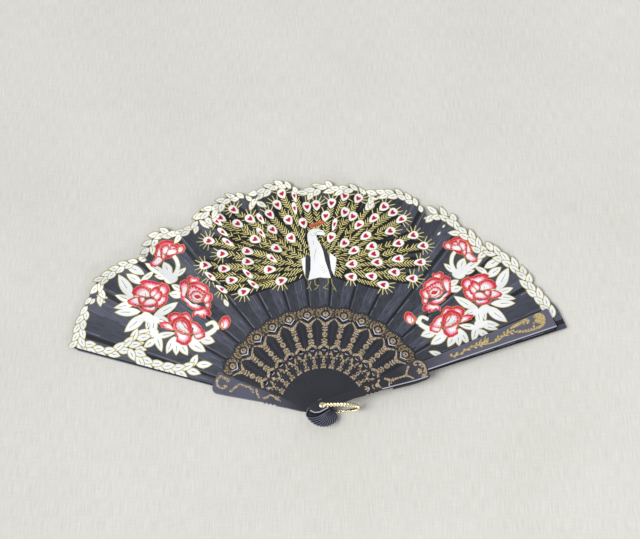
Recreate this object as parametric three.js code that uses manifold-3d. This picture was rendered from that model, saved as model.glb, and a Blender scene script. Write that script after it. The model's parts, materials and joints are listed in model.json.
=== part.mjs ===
// A folding hand fan, open and lying on its back guard: a pleated cloth leaf on moulded plastic
// sticks between two guards, all turning on one brass rivet that also carries a brass bail.
//
// Units are millimetres, +Z is up and the table is z = 0. The origin is on the rivet's axis, in the
// plane of the underside. +Y is away from the holder, so the open leaf spreads over +Y.
//
// Every moulding is drawn in its own closed frame: u runs outwards from the rivet, v to the left
// of u, and h up the stack. Closed, all of these frames are one frame, that of the back guard. Open,
// each moulding has turned clockwise about the rivet by one more pitch than the one below it.

import * as THREE from 'three';
import { mergeVertices } from 'three/addons/utils/BufferGeometryUtils.js';
import Module from 'manifold-3d';

const wasm = await Module();
wasm.setup();

// Whole fan
const STICK_COUNT = 12;
const OPEN_ANGLE = 141.05;
const BACK_GUARD_AZIMUTH = 163.5;
const LEAF_RADIUS = 208;
const REST_CLEARANCE = 0.35;

// Stack of mouldings along the rivet
const STICK_THICK = 0.8;
const STICK_GAP = 0.4;
const BACK_GUARD_THICK = 2.8;
const FRONT_GUARD_THICK = 3.6;
const GUARD_GAP = 0.5;
const BACK_BLADE_THICK = 2.2;
const FRONT_BLADE_THICK = 2;
const FRONT_BLADE_LIFT = 0.6;
const RIB_THICK = 0.45;

// Stick
const STICK_TAIL = 15.2;
const STICK_HEAD_HALF = 6;
const STICK_HEAD_END = 4.5;
const STICK_WAIST_HALF = 4.3;
const STICK_WAIST_RADIUS = 20;
const PLAIN_END_RADIUS = 38;
const RIB_OVERLAP = 6.5;
const RIB_END_RADIUS = 205;
const RIB_ROOT_HALF = 2.2;
const RIB_TIP_HALF = 1.5;
const WING_OVERLAP = 1.15;
const WING_NOTCH_DEPTH = 0.7;
const WING_END_DROP = 5.6;
const TRIANGLE_RADIUS = 51.4;
const TRIANGLE_HALF = 1.9;
const TRIANGLE_RISE = 2.6;
const CHEVRON_RADIUS = 76.6;
const CHEVRON_HALF = 4.3;
const CHEVRON_RISE = 3.2;
const CHEVRON_BAND = 1.5;
const CROWN_RISE = 15.9;
const CROWN_HOLE_HALF = 0.8;
const CROWN_HOLES = [{ below: 8.3, side: 5.2 }, { below: 4.3, side: 3.2 }];
const CROWN_LOBES = [
  { below: 3.4, side: 7.6 },
  { below: 3.2, side: 6 },
  { below: 1.2, side: 4.6 },
  { below: 1.3, side: 2.6 },
];
const TAIL_PROFILE = [
  { along: 1, out: 0 },
  { along: 0.9, out: 0.45 },
  { along: 0.62, out: 0.86 },
  { along: 0.25, out: 1 },
];

// Guards: outer is the edge that faces the holder, inner the edge that faces the sticks
const GUARD_TAIL = 11.5;
const GUARD_HEAD_HALF = 5.2;
const GUARD_HEAD_CENTRE = 4;
const GUARD_NECK_RADIUS = 5;
const GUARD_NECK_HALF = 3.8;
const GUARD_WAIST_RADIUS = 27;
const GUARD_SHOULDER_LENGTH = 12.5;
const GUARD_TAIL_PROFILE = [{ along: 0.92, out: 0.45 }, { along: 0.68, out: 0.85 }];
const BACK_OUTER = { waist: 4.9, wide: 9.8, round: 4.5 };
const BACK_INNER = { waist: 3, wide: 8.6, round: 1.5 };
const FRONT_OUTER = { waist: 3.4, wide: 10.2, round: 1.5 };
const FRONT_INNER = { waist: 2.6, wide: 7.7, round: 7 };
const SHOULDER_SWELL = 0.5;
const BACK_BLADE_END = { outer: 7.6, inner: 9.4 };
const FRONT_BLADE_END = { outer: 9.6, inner: 8.6 };
const BLADE_OVERLAP = 6.5;
const BLADE_START_HALF = 4.1;
const BLADE_END_RADIUS = 213;
const NOTCH_COUNT = 4;
const NOTCH_START_RADIUS = 37;
const NOTCH_STEP = 3.4;
const NOTCH_DEPTH = 0.8;
const NOTCH_PROFILE = [{ along: 0, deep: 0 }, { along: 0.25, deep: 1 }, { along: 0.6, deep: 0.8 }];
const ROUND_STEPS = 5;
const RECESS_RADIUS = 16;
const RECESS_DEPTH = 2.1;

// Leaf
const CLOTH_THICK = 0.3;
const CLOTH_SEAT = 0.1;
const PLEAT_RISE = 2.5;
const PLEAT_STEP = 0.6;
const PLEAT_LOW_START = 0.95;
const PLEAT_HIGH_START = 0.35;
const PLEAT_OPENING_POWER = 0.8;
const GLUE_SHARE = 0.07;
const FOLD_SHARE = 0.25;
const PANEL_GAP_SHARE = 0.006;
const LEAF_INNER_GAP = 1;
const SCALLOP_POWER = 2.6;
const SCALLOP_START = -0.04;
const SCALLOPS = [
  { end: 0.176, rise: 20 },
  { end: 0.262, rise: 14 },
  { end: 0.398, rise: 11 },
  { end: 0.495, rise: 12.5 },
  { end: 0.624, rise: 7.5 },
  { end: 0.717, rise: 10.5 },
  { end: 0.845, rise: 9 },
  { end: 1.1, rise: 14 },
];
const LEAF_TRIM_INNER = 4.4;
const LEAF_TRIM_OUTER = 7;
const LEAF_HEM = 2.2;
const LEAF_ROWS = [0, 0.12, 0.3, 0.55, 0.8, 1];

// Rivet and bail
const SHANK_RADIUS = 1.5;
const RIVET_CLEARANCE = 0.3;
const RIVET_HEAD_RADIUS = 2.9;
const RIVET_FOOT_THICK = 0.45;
const RIVET_DOME_RISE = 0.8;
const DOME_PROFILE = [{ out: 1, up: 0 }, { out: 0.82, up: 0.7 }, { out: 0.45, up: 1 }, { out: 0, up: 1 }];
const ROUND_SIDES = 16;
const BAIL_AZIMUTH = 2;
const BAIL_WIDTH = 2.6;
const BAIL_EYE_RADIUS = 3.2;
const BAIL_EYE_THICK = 0.8;
const BAIL_GAP = 0.3;
const BAIL_ARM_LENGTH = 17;
const BAIL_REACH = 31;
const BAIL_BOW_CENTRE = 18.5;
const BAIL_BOW_BAND = 1.3;
const BAIL_BOW_LIFT = 0.6;
const BAIL_BOW_STEPS = 16;

// Values that follow from the driving sizes
const GORGE_RADIUS = CHEVRON_RADIUS + CROWN_RISE;
const RIB_START_RADIUS = GORGE_RADIUS - RIB_OVERLAP;
const SHOULDER_START_RADIUS = GORGE_RADIUS - GUARD_SHOULDER_LENGTH;
const BLADE_START_RADIUS = GORGE_RADIUS - BLADE_OVERLAP;
const GAP_COUNT = STICK_COUNT + 1;
const FRONT = GAP_COUNT;
const PITCH_ANGLE = OPEN_ANGLE / GAP_COUNT;
const PITCH = THREE.MathUtils.degToRad(PITCH_ANGLE);
const STICK_PITCH = STICK_THICK + STICK_GAP;
const FIRST_STICK_H = BACK_GUARD_THICK + GUARD_GAP;
const FRONT_GUARD_H = FIRST_STICK_H + (STICK_COUNT - 1) * STICK_PITCH + STICK_THICK + GUARD_GAP;
const STACK_TOP_H = FRONT_GUARD_H + FRONT_GUARD_THICK;
const HOLE_RADIUS = SHANK_RADIUS + RIVET_CLEARANCE;
const SCALLOP_LAST = SCALLOPS.length - 1;
const LEAF_REACH = LEAF_RADIUS + SCALLOPS[SCALLOP_LAST].rise;
const RIB_LEAF_H = RIB_THICK + CLOTH_SEAT + CLOTH_THICK / 2;
const BACK_LEAF_H = BACK_BLADE_THICK + CLOTH_SEAT + CLOTH_THICK / 2;
const FRONT_LEAF_H = FRONT_GUARD_H + FRONT_BLADE_LIFT - CLOTH_SEAT - CLOTH_THICK / 2;

const stickBottom = (index) => FIRST_STICK_H + (index - 1) * STICK_PITCH;

/** Height of the cloth where it is glued to moulding number index. */
function leafHeight(index) {
  if (index === 0) return BACK_LEAF_H;
  if (index === FRONT) return FRONT_LEAF_H;
  return stickBottom(index) + RIB_LEAF_H;
}

/** Fall of the valley fold, and rise of the mountain fold, beside moulding number index. */
function pleat(index) {
  if (index === 0 || index === FRONT) return { valley: 0, mountain: 0 };
  return {
    valley: Math.min(PLEAT_RISE, PLEAT_LOW_START + PLEAT_STEP * (index - 1)),
    mountain: Math.min(PLEAT_RISE, PLEAT_HIGH_START + PLEAT_STEP * (STICK_COUNT - index)),
  };
}

/**
 * The rivet leans a little towards the back guard's far side, so that the outer ends of the open
 * sticks come down to the table although the stack at the rivet is thick. The lean is solved so
 * that the valley folds of a middle stick and of the last stick clear the table alike.
 */
function solveLean() {
  const picks = [Math.ceil((STICK_COUNT + 1) / 2), STICK_COUNT];
  const rows = picks.map((index) => {
    const angle = index * PITCH;
    const fall = leafHeight(index) - PLEAT_RISE - CLOTH_THICK / 2 - REST_CLEARANCE;
    return { side: Math.sin(angle), back: 1 - Math.cos(angle), slope: fall / LEAF_REACH };
  });
  const [p, q] = rows;
  const determinant = p.side * q.back - q.side * p.back;
  return {
    side: (p.slope * q.back - q.slope * p.back) / determinant,
    back: (p.side * q.slope - q.side * p.slope) / determinant,
  };
}

const lean = solveLean();
const AXIS_LOCAL = new THREE.Vector3(-lean.back, -lean.side, 1).normalize();
const BACK_AZIMUTH = THREE.MathUtils.degToRad(BACK_GUARD_AZIMUTH);
const AXIS = AXIS_LOCAL.clone().applyAxisAngle(new THREE.Vector3(0, 0, 1), BACK_AZIMUTH);

/** Point of a closed frame: the frame's own origin climbs the leaning axis with h. */
function closedPoint(u, v, h) {
  return AXIS_LOCAL.clone().multiplyScalar(h / AXIS_LOCAL.z).add(new THREE.Vector3(u, v, 0));
}

/** Rotation from the closed frame of moulding number index to the open fan. */
function openRotation(index) {
  const turn = new THREE.Quaternion().setFromAxisAngle(AXIS, -index * PITCH);
  const base = new THREE.Quaternion().setFromAxisAngle(new THREE.Vector3(0, 0, 1), BACK_AZIMUTH);
  return turn.multiply(base);
}

const plastic = new THREE.MeshStandardMaterial({ color: '#17181c', roughness: 0.3, metalness: 0 });
const cloth = new THREE.MeshStandardMaterial({ color: '#34363d', roughness: 0.9, metalness: 0 });
const brass = new THREE.MeshStandardMaterial({ color: '#c9a24a', roughness: 0.3, metalness: 1 });
cloth.side = THREE.DoubleSide;

function toSolid(geometry) {
  const bare = geometry.clone();
  bare.deleteAttribute('normal');
  bare.deleteAttribute('uv');
  const merged = mergeVertices(bare, 1e-4);
  return new wasm.Manifold(new wasm.Mesh({
    numProp: 3,
    vertProperties: new Float32Array(merged.attributes.position.array),
    triVerts: new Uint32Array(merged.index.array),
  }));
}

function toGeometry(solid) {
  const mesh = solid.getMesh();
  const geometry = new THREE.BufferGeometry();
  geometry.setAttribute('position', new THREE.BufferAttribute(mesh.vertProperties, 3));
  geometry.setIndex(new THREE.BufferAttribute(mesh.triVerts, 1));
  geometry.computeVertexNormals();
  return geometry;
}

/** Flat plate from an outline, with holes, standing on height low. */
function plate(outline, holes, low, thick) {
  const shape = new THREE.Shape(outline.map(([u, v]) => new THREE.Vector2(u, v)));
  for (const hole of holes) {
    shape.holes.push(new THREE.Path(hole.map(([u, v]) => new THREE.Vector2(u, v))));
  }
  const geometry = new THREE.ExtrudeGeometry(shape, { depth: thick, bevelEnabled: false });
  return geometry.translate(0, 0, low);
}

function circle(radius, sides = ROUND_SIDES) {
  return Array.from({ length: sides }, (_, k) => {
    const angle = -2 * Math.PI * k / sides;
    return [radius * Math.cos(angle), radius * Math.sin(angle)];
  });
}

/** Whole outline from the points of its left half, which run from the tail's tip outwards. */
function mirrored(half) {
  const other = half.filter(([, v]) => v > 0).map(([u, v]) => [u, -v]);
  return [...half].reverse().concat(other);
}

const diamond = (u, v, half) => [[u - half, v], [u, v + half], [u + half, v], [u, v - half]];

/** Left half of a stick's gorge: blunt tail, waist, wings and a crown of three scallops. */
function stickHalf() {
  const wing = (radius) => radius * Math.sin(PITCH / 2) + WING_OVERLAP;
  const chevronEnd = CHEVRON_RADIUS + CHEVRON_RISE;
  const wingEnd = GORGE_RADIUS - WING_END_DROP;
  return [
    ...TAIL_PROFILE.map(({ along, out }) => [-STICK_TAIL * along, STICK_HEAD_HALF * out]),
    [STICK_HEAD_END, STICK_HEAD_HALF],
    [STICK_WAIST_RADIUS, STICK_WAIST_HALF],
    [PLAIN_END_RADIUS, wing(PLAIN_END_RADIUS)],
    [CHEVRON_RADIUS, wing(CHEVRON_RADIUS)],
    [chevronEnd, wing(CHEVRON_RADIUS) - WING_NOTCH_DEPTH],
    [chevronEnd + CHEVRON_BAND, wing(chevronEnd)],
    [wingEnd, wing(wingEnd)],
    ...CROWN_LOBES.map(({ below, side }) => [GORGE_RADIUS - below, side]),
    [GORGE_RADIUS, 0],
  ];
}

function stickHoles() {
  const triangle = [[TRIANGLE_RADIUS, TRIANGLE_HALF], [TRIANGLE_RADIUS + TRIANGLE_RISE, 0],
    [TRIANGLE_RADIUS, -TRIANGLE_HALF]];
  const chevron = [[CHEVRON_RADIUS, 0], [CHEVRON_RADIUS + CHEVRON_RISE, CHEVRON_HALF],
    [CHEVRON_RADIUS + CHEVRON_RISE + CHEVRON_BAND, CHEVRON_HALF],
    [CHEVRON_RADIUS + CHEVRON_BAND, 0],
    [CHEVRON_RADIUS + CHEVRON_RISE + CHEVRON_BAND, -CHEVRON_HALF],
    [CHEVRON_RADIUS + CHEVRON_RISE, -CHEVRON_HALF]];
  const crown = CROWN_HOLES.flatMap(({ below, side }) => [side, -side].map(
    (v) => diamond(GORGE_RADIUS - below, v, CROWN_HOLE_HALF)));
  return [circle(HOLE_RADIUS), triangle, chevron, ...crown];
}

/** Inner stick: a pierced gorge, and a thin rib that carries the leaf. */
function stickGeometry() {
  const gorge = plate(mirrored(stickHalf()), stickHoles(), 0, STICK_THICK);
  const rib = plate([[RIB_START_RADIUS, RIB_ROOT_HALF], [RIB_START_RADIUS, -RIB_ROOT_HALF],
    [RIB_END_RADIUS, -RIB_TIP_HALF], [RIB_END_RADIUS, RIB_TIP_HALF]], [], 0, RIB_THICK);
  return toGeometry(toSolid(gorge).add(toSolid(rib)));
}

/** One edge of a guard's gorge, from behind the head out to the shoulder's end. */
function guardEdge({ waist, wide, round }, notched) {
  const shoulder = wide - SHOULDER_SWELL;
  const slope = (shoulder - waist) / (SHOULDER_START_RADIUS - GUARD_WAIST_RADIUS);
  const halfAt = (u) => waist + slope * (u - GUARD_WAIST_RADIUS);
  const points = [
    ...GUARD_TAIL_PROFILE.map(({ along, out }) => [-GUARD_TAIL * along, GUARD_HEAD_HALF * out]),
    [-GUARD_HEAD_CENTRE, GUARD_HEAD_HALF],
    [0, (GUARD_HEAD_HALF + GUARD_NECK_HALF) / 2],
    [GUARD_NECK_RADIUS, GUARD_NECK_HALF],
    [GUARD_WAIST_RADIUS, waist],
  ];
  for (let k = 0; notched && k < NOTCH_COUNT; k += 1) {
    const start = NOTCH_START_RADIUS + NOTCH_STEP * k;
    points.push(...NOTCH_PROFILE.map(({ along, deep }) => [
      start + NOTCH_STEP * along, halfAt(start) - NOTCH_DEPTH * deep]));
  }
  points.push([SHOULDER_START_RADIUS, shoulder]);
  for (let k = 0; k <= ROUND_STEPS; k += 1) {
    const angle = (Math.PI / 2) * (1 - k / ROUND_STEPS);
    points.push([GORGE_RADIUS - round * (1 - Math.cos(angle)), wide - round * (1 - Math.sin(angle))]);
  }
  return points;
}

/** Guard gorge outline; side is +1 or -1 for the side of the outer edge. */
function guardOutline(outer, inner, side) {
  return [[-GUARD_TAIL, 0],
    ...guardEdge(outer, true).map(([u, v]) => [u, side * v]),
    ...guardEdge(inner, false).reverse().map(([u, v]) => [u, -side * v])];
}

function bladeOutline(end, side) {
  return [[BLADE_START_RADIUS, -side * BLADE_START_HALF], [BLADE_START_RADIUS, side * BLADE_START_HALF],
    [BLADE_END_RADIUS, side * end.outer], [BLADE_END_RADIUS, -side * end.inner]];
}

/** The bore that the rivet's shank runs through, long enough for any moulding. */
function rivetBore() {
  return toSolid(plate(circle(HOLE_RADIUS), [], -1, STACK_TOP_H + 2));
}

/** Back guard: flat underneath, with a round recess for the rivet's foot and the bail's lower arm. */
function backGuardGeometry() {
  const gorge = plate(guardOutline(BACK_OUTER, BACK_INNER, 1), [], 0, BACK_GUARD_THICK);
  const blade = plate(bladeOutline(BACK_BLADE_END, 1), [], 0, BACK_BLADE_THICK);
  const recess = plate(circle(RECESS_RADIUS, 2 * ROUND_SIDES), [], -1, RECESS_DEPTH + 1);
  const whole = toSolid(gorge).add(toSolid(blade));
  return toGeometry(whole.subtract(toSolid(recess)).subtract(rivetBore()));
}

/** Front guard: its thinner blade leaves room below for the leaf, and its head is faced off square
 *  to the rivet, so that the bail's upper arm can swing over it. */
function frontGuardGeometry() {
  const gorge = plate(guardOutline(FRONT_OUTER, FRONT_INNER, -1), [], 0, FRONT_GUARD_THICK);
  const blade = plate(bladeOutline(FRONT_BLADE_END, -1), [], FRONT_BLADE_LIFT, FRONT_BLADE_THICK);
  const above = new THREE.BoxGeometry(2 * BAIL_ARM_LENGTH, 2 * BAIL_ARM_LENGTH, FRONT_GUARD_THICK);
  above.translate(0, 0, FRONT_GUARD_THICK + FRONT_GUARD_THICK / 2);
  const square = openRotation(FRONT).invert().multiply(
    new THREE.Quaternion().setFromUnitVectors(new THREE.Vector3(0, 0, 1), AXIS));
  above.applyQuaternion(square);
  const whole = toSolid(gorge).add(toSolid(blade));
  return toGeometry(whole.subtract(toSolid(above)).subtract(rivetBore()));
}

/** Outer edge of the leaf at a place counted in pitches clockwise from the back guard. */
function scallopRadius(place) {
  const share = place / GAP_COUNT;
  const found = SCALLOPS.findIndex(({ end }) => end > share);
  const lobe = found < 0 ? SCALLOP_LAST : found;
  const start = lobe === 0 ? SCALLOP_START : SCALLOPS[lobe - 1].end;
  const across = Math.abs(2 * (share - start) / (SCALLOPS[lobe].end - start) - 1);
  return LEAF_RADIUS + SCALLOPS[lobe].rise * (1 - Math.min(1, across) ** SCALLOP_POWER);
}

/** Share of the full pleat depth at a radius: shallow at the crowns, full at the outer edge. */
function pleatShare(radius) {
  const out = Math.max(0, radius - GORGE_RADIUS) / (LEAF_RADIUS - GORGE_RADIUS);
  return out ** PLEAT_OPENING_POWER;
}

/** Radius at a place and a share of the way from the leaf's inner edge to its outer edge. */
function leafRadius(place, along) {
  return THREE.MathUtils.lerp(GORGE_RADIUS + LEAF_INNER_GAP, scallopRadius(place), along);
}

/** Where the leaf's first edge lies, as a share of a pitch: it is cut nearly parallel to the blade. */
function trimShare(along) {
  const half = THREE.MathUtils.lerp(LEAF_TRIM_INNER, LEAF_TRIM_OUTER, along);
  const radius = THREE.MathUtils.lerp(GORGE_RADIUS, LEAF_RADIUS, along);
  return -Math.asin(half / radius) / PITCH;
}

/** Point of the cloth's middle surface on the glued face of moulding number index. */
function gluedFacePoint(index, asked, along) {
  const share = index === 0 ? Math.max(asked, trimShare(along)) : asked;
  const radius = leafRadius(index + share, along);
  const fold = pleat(index);
  const beyond = Math.max(0, Math.abs(share) - GLUE_SHARE) / (FOLD_SHARE - GLUE_SHARE);
  const rise = (share > 0 ? fold.mountain : -fold.valley) * beyond * pleatShare(radius);
  const angle = -share * PITCH;
  const height = leafHeight(index) + rise;
  const point = closedPoint(radius * Math.cos(angle), radius * Math.sin(angle), height);
  return point.applyQuaternion(openRotation(index));
}

/** Point of the free face between the mountain of index and the valley of the next moulding. */
function freeFacePoint(index, share, along) {
  const across = (share - FOLD_SHARE) / (1 - 2 * FOLD_SHARE);
  const from = gluedFacePoint(index, FOLD_SHARE, along);
  const to = gluedFacePoint(index + 1, -FOLD_SHARE, along);
  const point = from.lerp(to, across);
  const stretch = leafRadius(index + share, along) / Math.hypot(point.x, point.y);
  return new THREE.Vector3(point.x * stretch, point.y * stretch, point.z);
}

/** Closed sheet between two grids of points that lie half a thickness above and below a surface. */
function sheetGeometry(columns, rows, surface) {
  const points = [];
  for (const side of [1, -1]) {
    for (const column of columns) {
      for (const row of rows) {
        const point = surface(column, row);
        points.push(point.x, point.y, point.z + side * CLOTH_THICK / 2);
      }
    }
  }
  const wide = columns.length;
  const long = rows.length;
  const faces = [];
  const quad = (...corners) => {
    const [a, b, c, d] = corners.map(([layer, column, row]) => (layer * wide + column) * long + row);
    faces.push(a, b, c, a, c, d);
  };
  for (let c = 0; c < wide - 1; c += 1) {
    for (let r = 0; r < long - 1; r += 1) {
      quad([0, c, r], [0, c + 1, r], [0, c + 1, r + 1], [0, c, r + 1]);
      quad([1, c, r], [1, c, r + 1], [1, c + 1, r + 1], [1, c + 1, r]);
    }
    quad([0, c + 1, 0], [0, c, 0], [1, c, 0], [1, c + 1, 0]);
    quad([0, c, long - 1], [0, c + 1, long - 1], [1, c + 1, long - 1], [1, c, long - 1]);
  }
  for (let r = 0; r < long - 1; r += 1) {
    quad([0, 0, r], [0, 0, r + 1], [1, 0, r + 1], [1, 0, r]);
    quad([0, wide - 1, r + 1], [0, wide - 1, r], [1, wide - 1, r], [1, wide - 1, r + 1]);
  }
  const geometry = new THREE.BufferGeometry();
  geometry.setAttribute('position', new THREE.Float32BufferAttribute(points, 3));
  geometry.setIndex(faces);
  geometry.computeVertexNormals();
  return geometry;
}

/** One pitch of the leaf: the face glued to a moulding and the free face on to the next one. */
function leafPanelGeometry(index) {
  const hem = LEAF_HEM / (LEAF_RADIUS * PITCH);
  const start = index === 0 ? -FOLD_SHARE : PANEL_GAP_SHARE - FOLD_SHARE;
  const glued = [start, -0.15, -GLUE_SHARE, 0, GLUE_SHARE, 0.15];
  const free = [FOLD_SHARE, 0.35, 0.45, 0.55, 0.65, 1 - FOLD_SHARE - PANEL_GAP_SHARE];
  const columns = index === FRONT ? [...glued, FOLD_SHARE + hem] : [...glued, ...free];
  const surface = (share, along) => (share < FOLD_SHARE || index === FRONT
    ? gluedFacePoint(index, share, along)
    : freeFacePoint(index, share, along));
  return sheetGeometry(columns, LEAF_ROWS, surface);
}

/** Rivet: shank along the leaning axis, flat foot flush with the table side, low domed head. */
function rivetGeometry() {
  const foot = RIVET_FOOT_THICK;
  const under = STACK_TOP_H + 2 * BAIL_GAP + BAIL_EYE_THICK;
  const profile = [[0, -foot], [RIVET_HEAD_RADIUS, -foot], [RIVET_HEAD_RADIUS, foot],
    [SHANK_RADIUS, foot], [SHANK_RADIUS, under],
    ...DOME_PROFILE.map(({ out, up }) => [RIVET_HEAD_RADIUS * out, under + RIVET_DOME_RISE * up])];
  const lathe = new THREE.LatheGeometry(profile.map(([r, z]) => new THREE.Vector2(r, z)), ROUND_SIDES);
  lathe.rotateX(Math.PI / 2);
  lathe.applyQuaternion(new THREE.Quaternion().setFromUnitVectors(new THREE.Vector3(0, 0, 1), AXIS));
  const table = new THREE.BoxGeometry(RECESS_RADIUS, RECESS_RADIUS, RECESS_RADIUS);
  table.translate(0, 0, -RECESS_RADIUS / 2);
  return toGeometry(toSolid(lathe).subtract(toSolid(table)));
}

/** Bail: a flat band bent to a bow, with an eye at each end under and over the stack. */
function bailGeometry() {
  const lowBottom = RIVET_FOOT_THICK + BAIL_GAP;
  const highTop = STACK_TOP_H + BAIL_GAP + BAIL_EYE_THICK;
  const middle = (lowBottom + highTop) / 2;
  const rise = (highTop - lowBottom) / 2 - BAIL_BOW_LIFT;
  const reach = BAIL_REACH - BAIL_BOW_CENTRE;
  const bow = (inset, direction) => Array.from({ length: BAIL_BOW_STEPS + 1 }, (_, k) => {
    const angle = direction * Math.PI * (k / BAIL_BOW_STEPS - 0.5);
    return [BAIL_BOW_CENTRE + (reach - inset) * Math.cos(angle),
      middle + (rise - inset) * Math.sin(angle)];
  });
  const outline = [[0, lowBottom], [BAIL_ARM_LENGTH, lowBottom], ...bow(0, 1),
    [BAIL_ARM_LENGTH, highTop], [0, highTop], [0, highTop - BAIL_EYE_THICK],
    [BAIL_ARM_LENGTH, highTop - BAIL_EYE_THICK], ...bow(BAIL_BOW_BAND, -1),
    [BAIL_ARM_LENGTH, lowBottom + BAIL_EYE_THICK], [0, lowBottom + BAIL_EYE_THICK]];
  const band = plate(outline, [], -BAIL_WIDTH / 2, BAIL_WIDTH).rotateX(Math.PI / 2);
  const lowEye = plate(circle(BAIL_EYE_RADIUS), [], lowBottom, BAIL_EYE_THICK);
  const highEye = plate(circle(BAIL_EYE_RADIUS), [], highTop - BAIL_EYE_THICK, BAIL_EYE_THICK);
  const bore = toSolid(plate(circle(HOLE_RADIUS), [], -1, highTop + 2));
  return toGeometry(toSolid(band).add(toSolid(lowEye)).add(toSolid(highEye)).subtract(bore));
}

function named(name, geometry, material) {
  const mesh = new THREE.Mesh(geometry, material);
  mesh.name = name;
  return mesh;
}

/** Put a moulding that was drawn in its closed frame at its height and its turn. */
function placeMoulding(mesh, index, height) {
  const turn = openRotation(index);
  mesh.position.copy(closedPoint(0, 0, height).applyQuaternion(turn));
  mesh.quaternion.copy(turn);
  return mesh;
}

const twoDigits = (number) => String(number).padStart(2, '0');

const fan = new THREE.Group();
fan.add(placeMoulding(named('back_guard', backGuardGeometry(), plastic), 0, 0));
const stick = stickGeometry();
for (let index = 1; index <= STICK_COUNT; index += 1) {
  fan.add(placeMoulding(named(`stick_${twoDigits(index)}`, stick, plastic), index, stickBottom(index)));
}
fan.add(placeMoulding(named('front_guard', frontGuardGeometry(), plastic), FRONT, FRONT_GUARD_H));
for (let index = 0; index <= FRONT; index += 1) {
  fan.add(named(`leaf_panel_${twoDigits(index)}`, leafPanelGeometry(index), cloth));
}
fan.add(named('rivet', rivetGeometry(), brass));

const bail = named('bail', bailGeometry(), brass);
const bailTurn = new THREE.Quaternion().setFromAxisAngle(
  new THREE.Vector3(0, 0, 1), THREE.MathUtils.degToRad(BAIL_AZIMUTH));
bail.quaternion.setFromUnitVectors(new THREE.Vector3(0, 0, 1), AXIS).multiply(bailTurn);
fan.add(bail);

export default fan;
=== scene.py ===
"""Finish of an open folding fan: printed cloth leaf, foiled plastic sticks, brass rivet and bail.

Sizes are in millimetres and angles in degrees, as on the maker's drawing. The plan of the open fan
has its origin on the rivet, x to the right and y away from the holder.
"""

from __future__ import annotations

import json
import logging
import math
import random
from collections.abc import Callable, Iterable
from dataclasses import dataclass, field
from enum import Enum

import bpy
from mathutils import Matrix, Vector
from mathutils.geometry import delaunay_2d_cdt


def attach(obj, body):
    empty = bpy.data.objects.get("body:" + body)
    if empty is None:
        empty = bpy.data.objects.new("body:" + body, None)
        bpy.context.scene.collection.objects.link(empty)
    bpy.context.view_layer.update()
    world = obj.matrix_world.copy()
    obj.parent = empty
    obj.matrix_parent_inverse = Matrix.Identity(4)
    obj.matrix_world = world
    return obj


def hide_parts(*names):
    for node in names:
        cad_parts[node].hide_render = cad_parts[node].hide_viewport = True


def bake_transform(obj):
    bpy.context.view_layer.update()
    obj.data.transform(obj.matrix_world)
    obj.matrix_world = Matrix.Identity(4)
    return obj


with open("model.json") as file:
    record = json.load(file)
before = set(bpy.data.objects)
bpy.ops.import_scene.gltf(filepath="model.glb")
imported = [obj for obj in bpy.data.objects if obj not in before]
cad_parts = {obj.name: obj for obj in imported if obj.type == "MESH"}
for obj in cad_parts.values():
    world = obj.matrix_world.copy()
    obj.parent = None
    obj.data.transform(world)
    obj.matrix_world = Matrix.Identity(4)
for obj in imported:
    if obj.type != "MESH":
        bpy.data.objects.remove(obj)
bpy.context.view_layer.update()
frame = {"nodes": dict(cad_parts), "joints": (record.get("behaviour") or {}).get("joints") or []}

LOG = logging.getLogger("fan")
MM = 0.001
UP = Vector((0, 0, 1))
# The cloth's texture map counts in steps of this many millimetres
CLOTH_MAP = 10.0
# Plan points closer together than this many millimetres are taken as one
TOLERANCE = 1e-4
# Ornament starts this many millimetres below the face that it stands on
SINK = 0.02
# Edges sharper than this many degrees are rounded, after points this close together are joined
ROUNDED_ANGLE = 38.0
JOINED = 0.002

# Power of a drawn leaf's roundness, and how much blunter one end of an egg is
LEAF_ROUND = 0.85
EGG_BLUNT = 0.32

# Two numbers that belong together, most often a place in plan
Point = tuple[float, float]
Outline = list[Point]


def linear(code: str) -> tuple[float, float, float, float]:
    """Turn an sRGB hex colour into linear RGBA.

    Args:
        code: six hex digits after a hash sign.

    Returns:
        The linear colour with full alpha.
    """
    parts = [int(code[k:k + 2], 16) / 255 for k in (1, 3, 5)]
    red, green, blue = (c / 12.92 if c <= 0.04045 else ((c + 0.055) / 1.055) ** 2.4 for c in parts)
    return red, green, blue, 1.0


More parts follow.
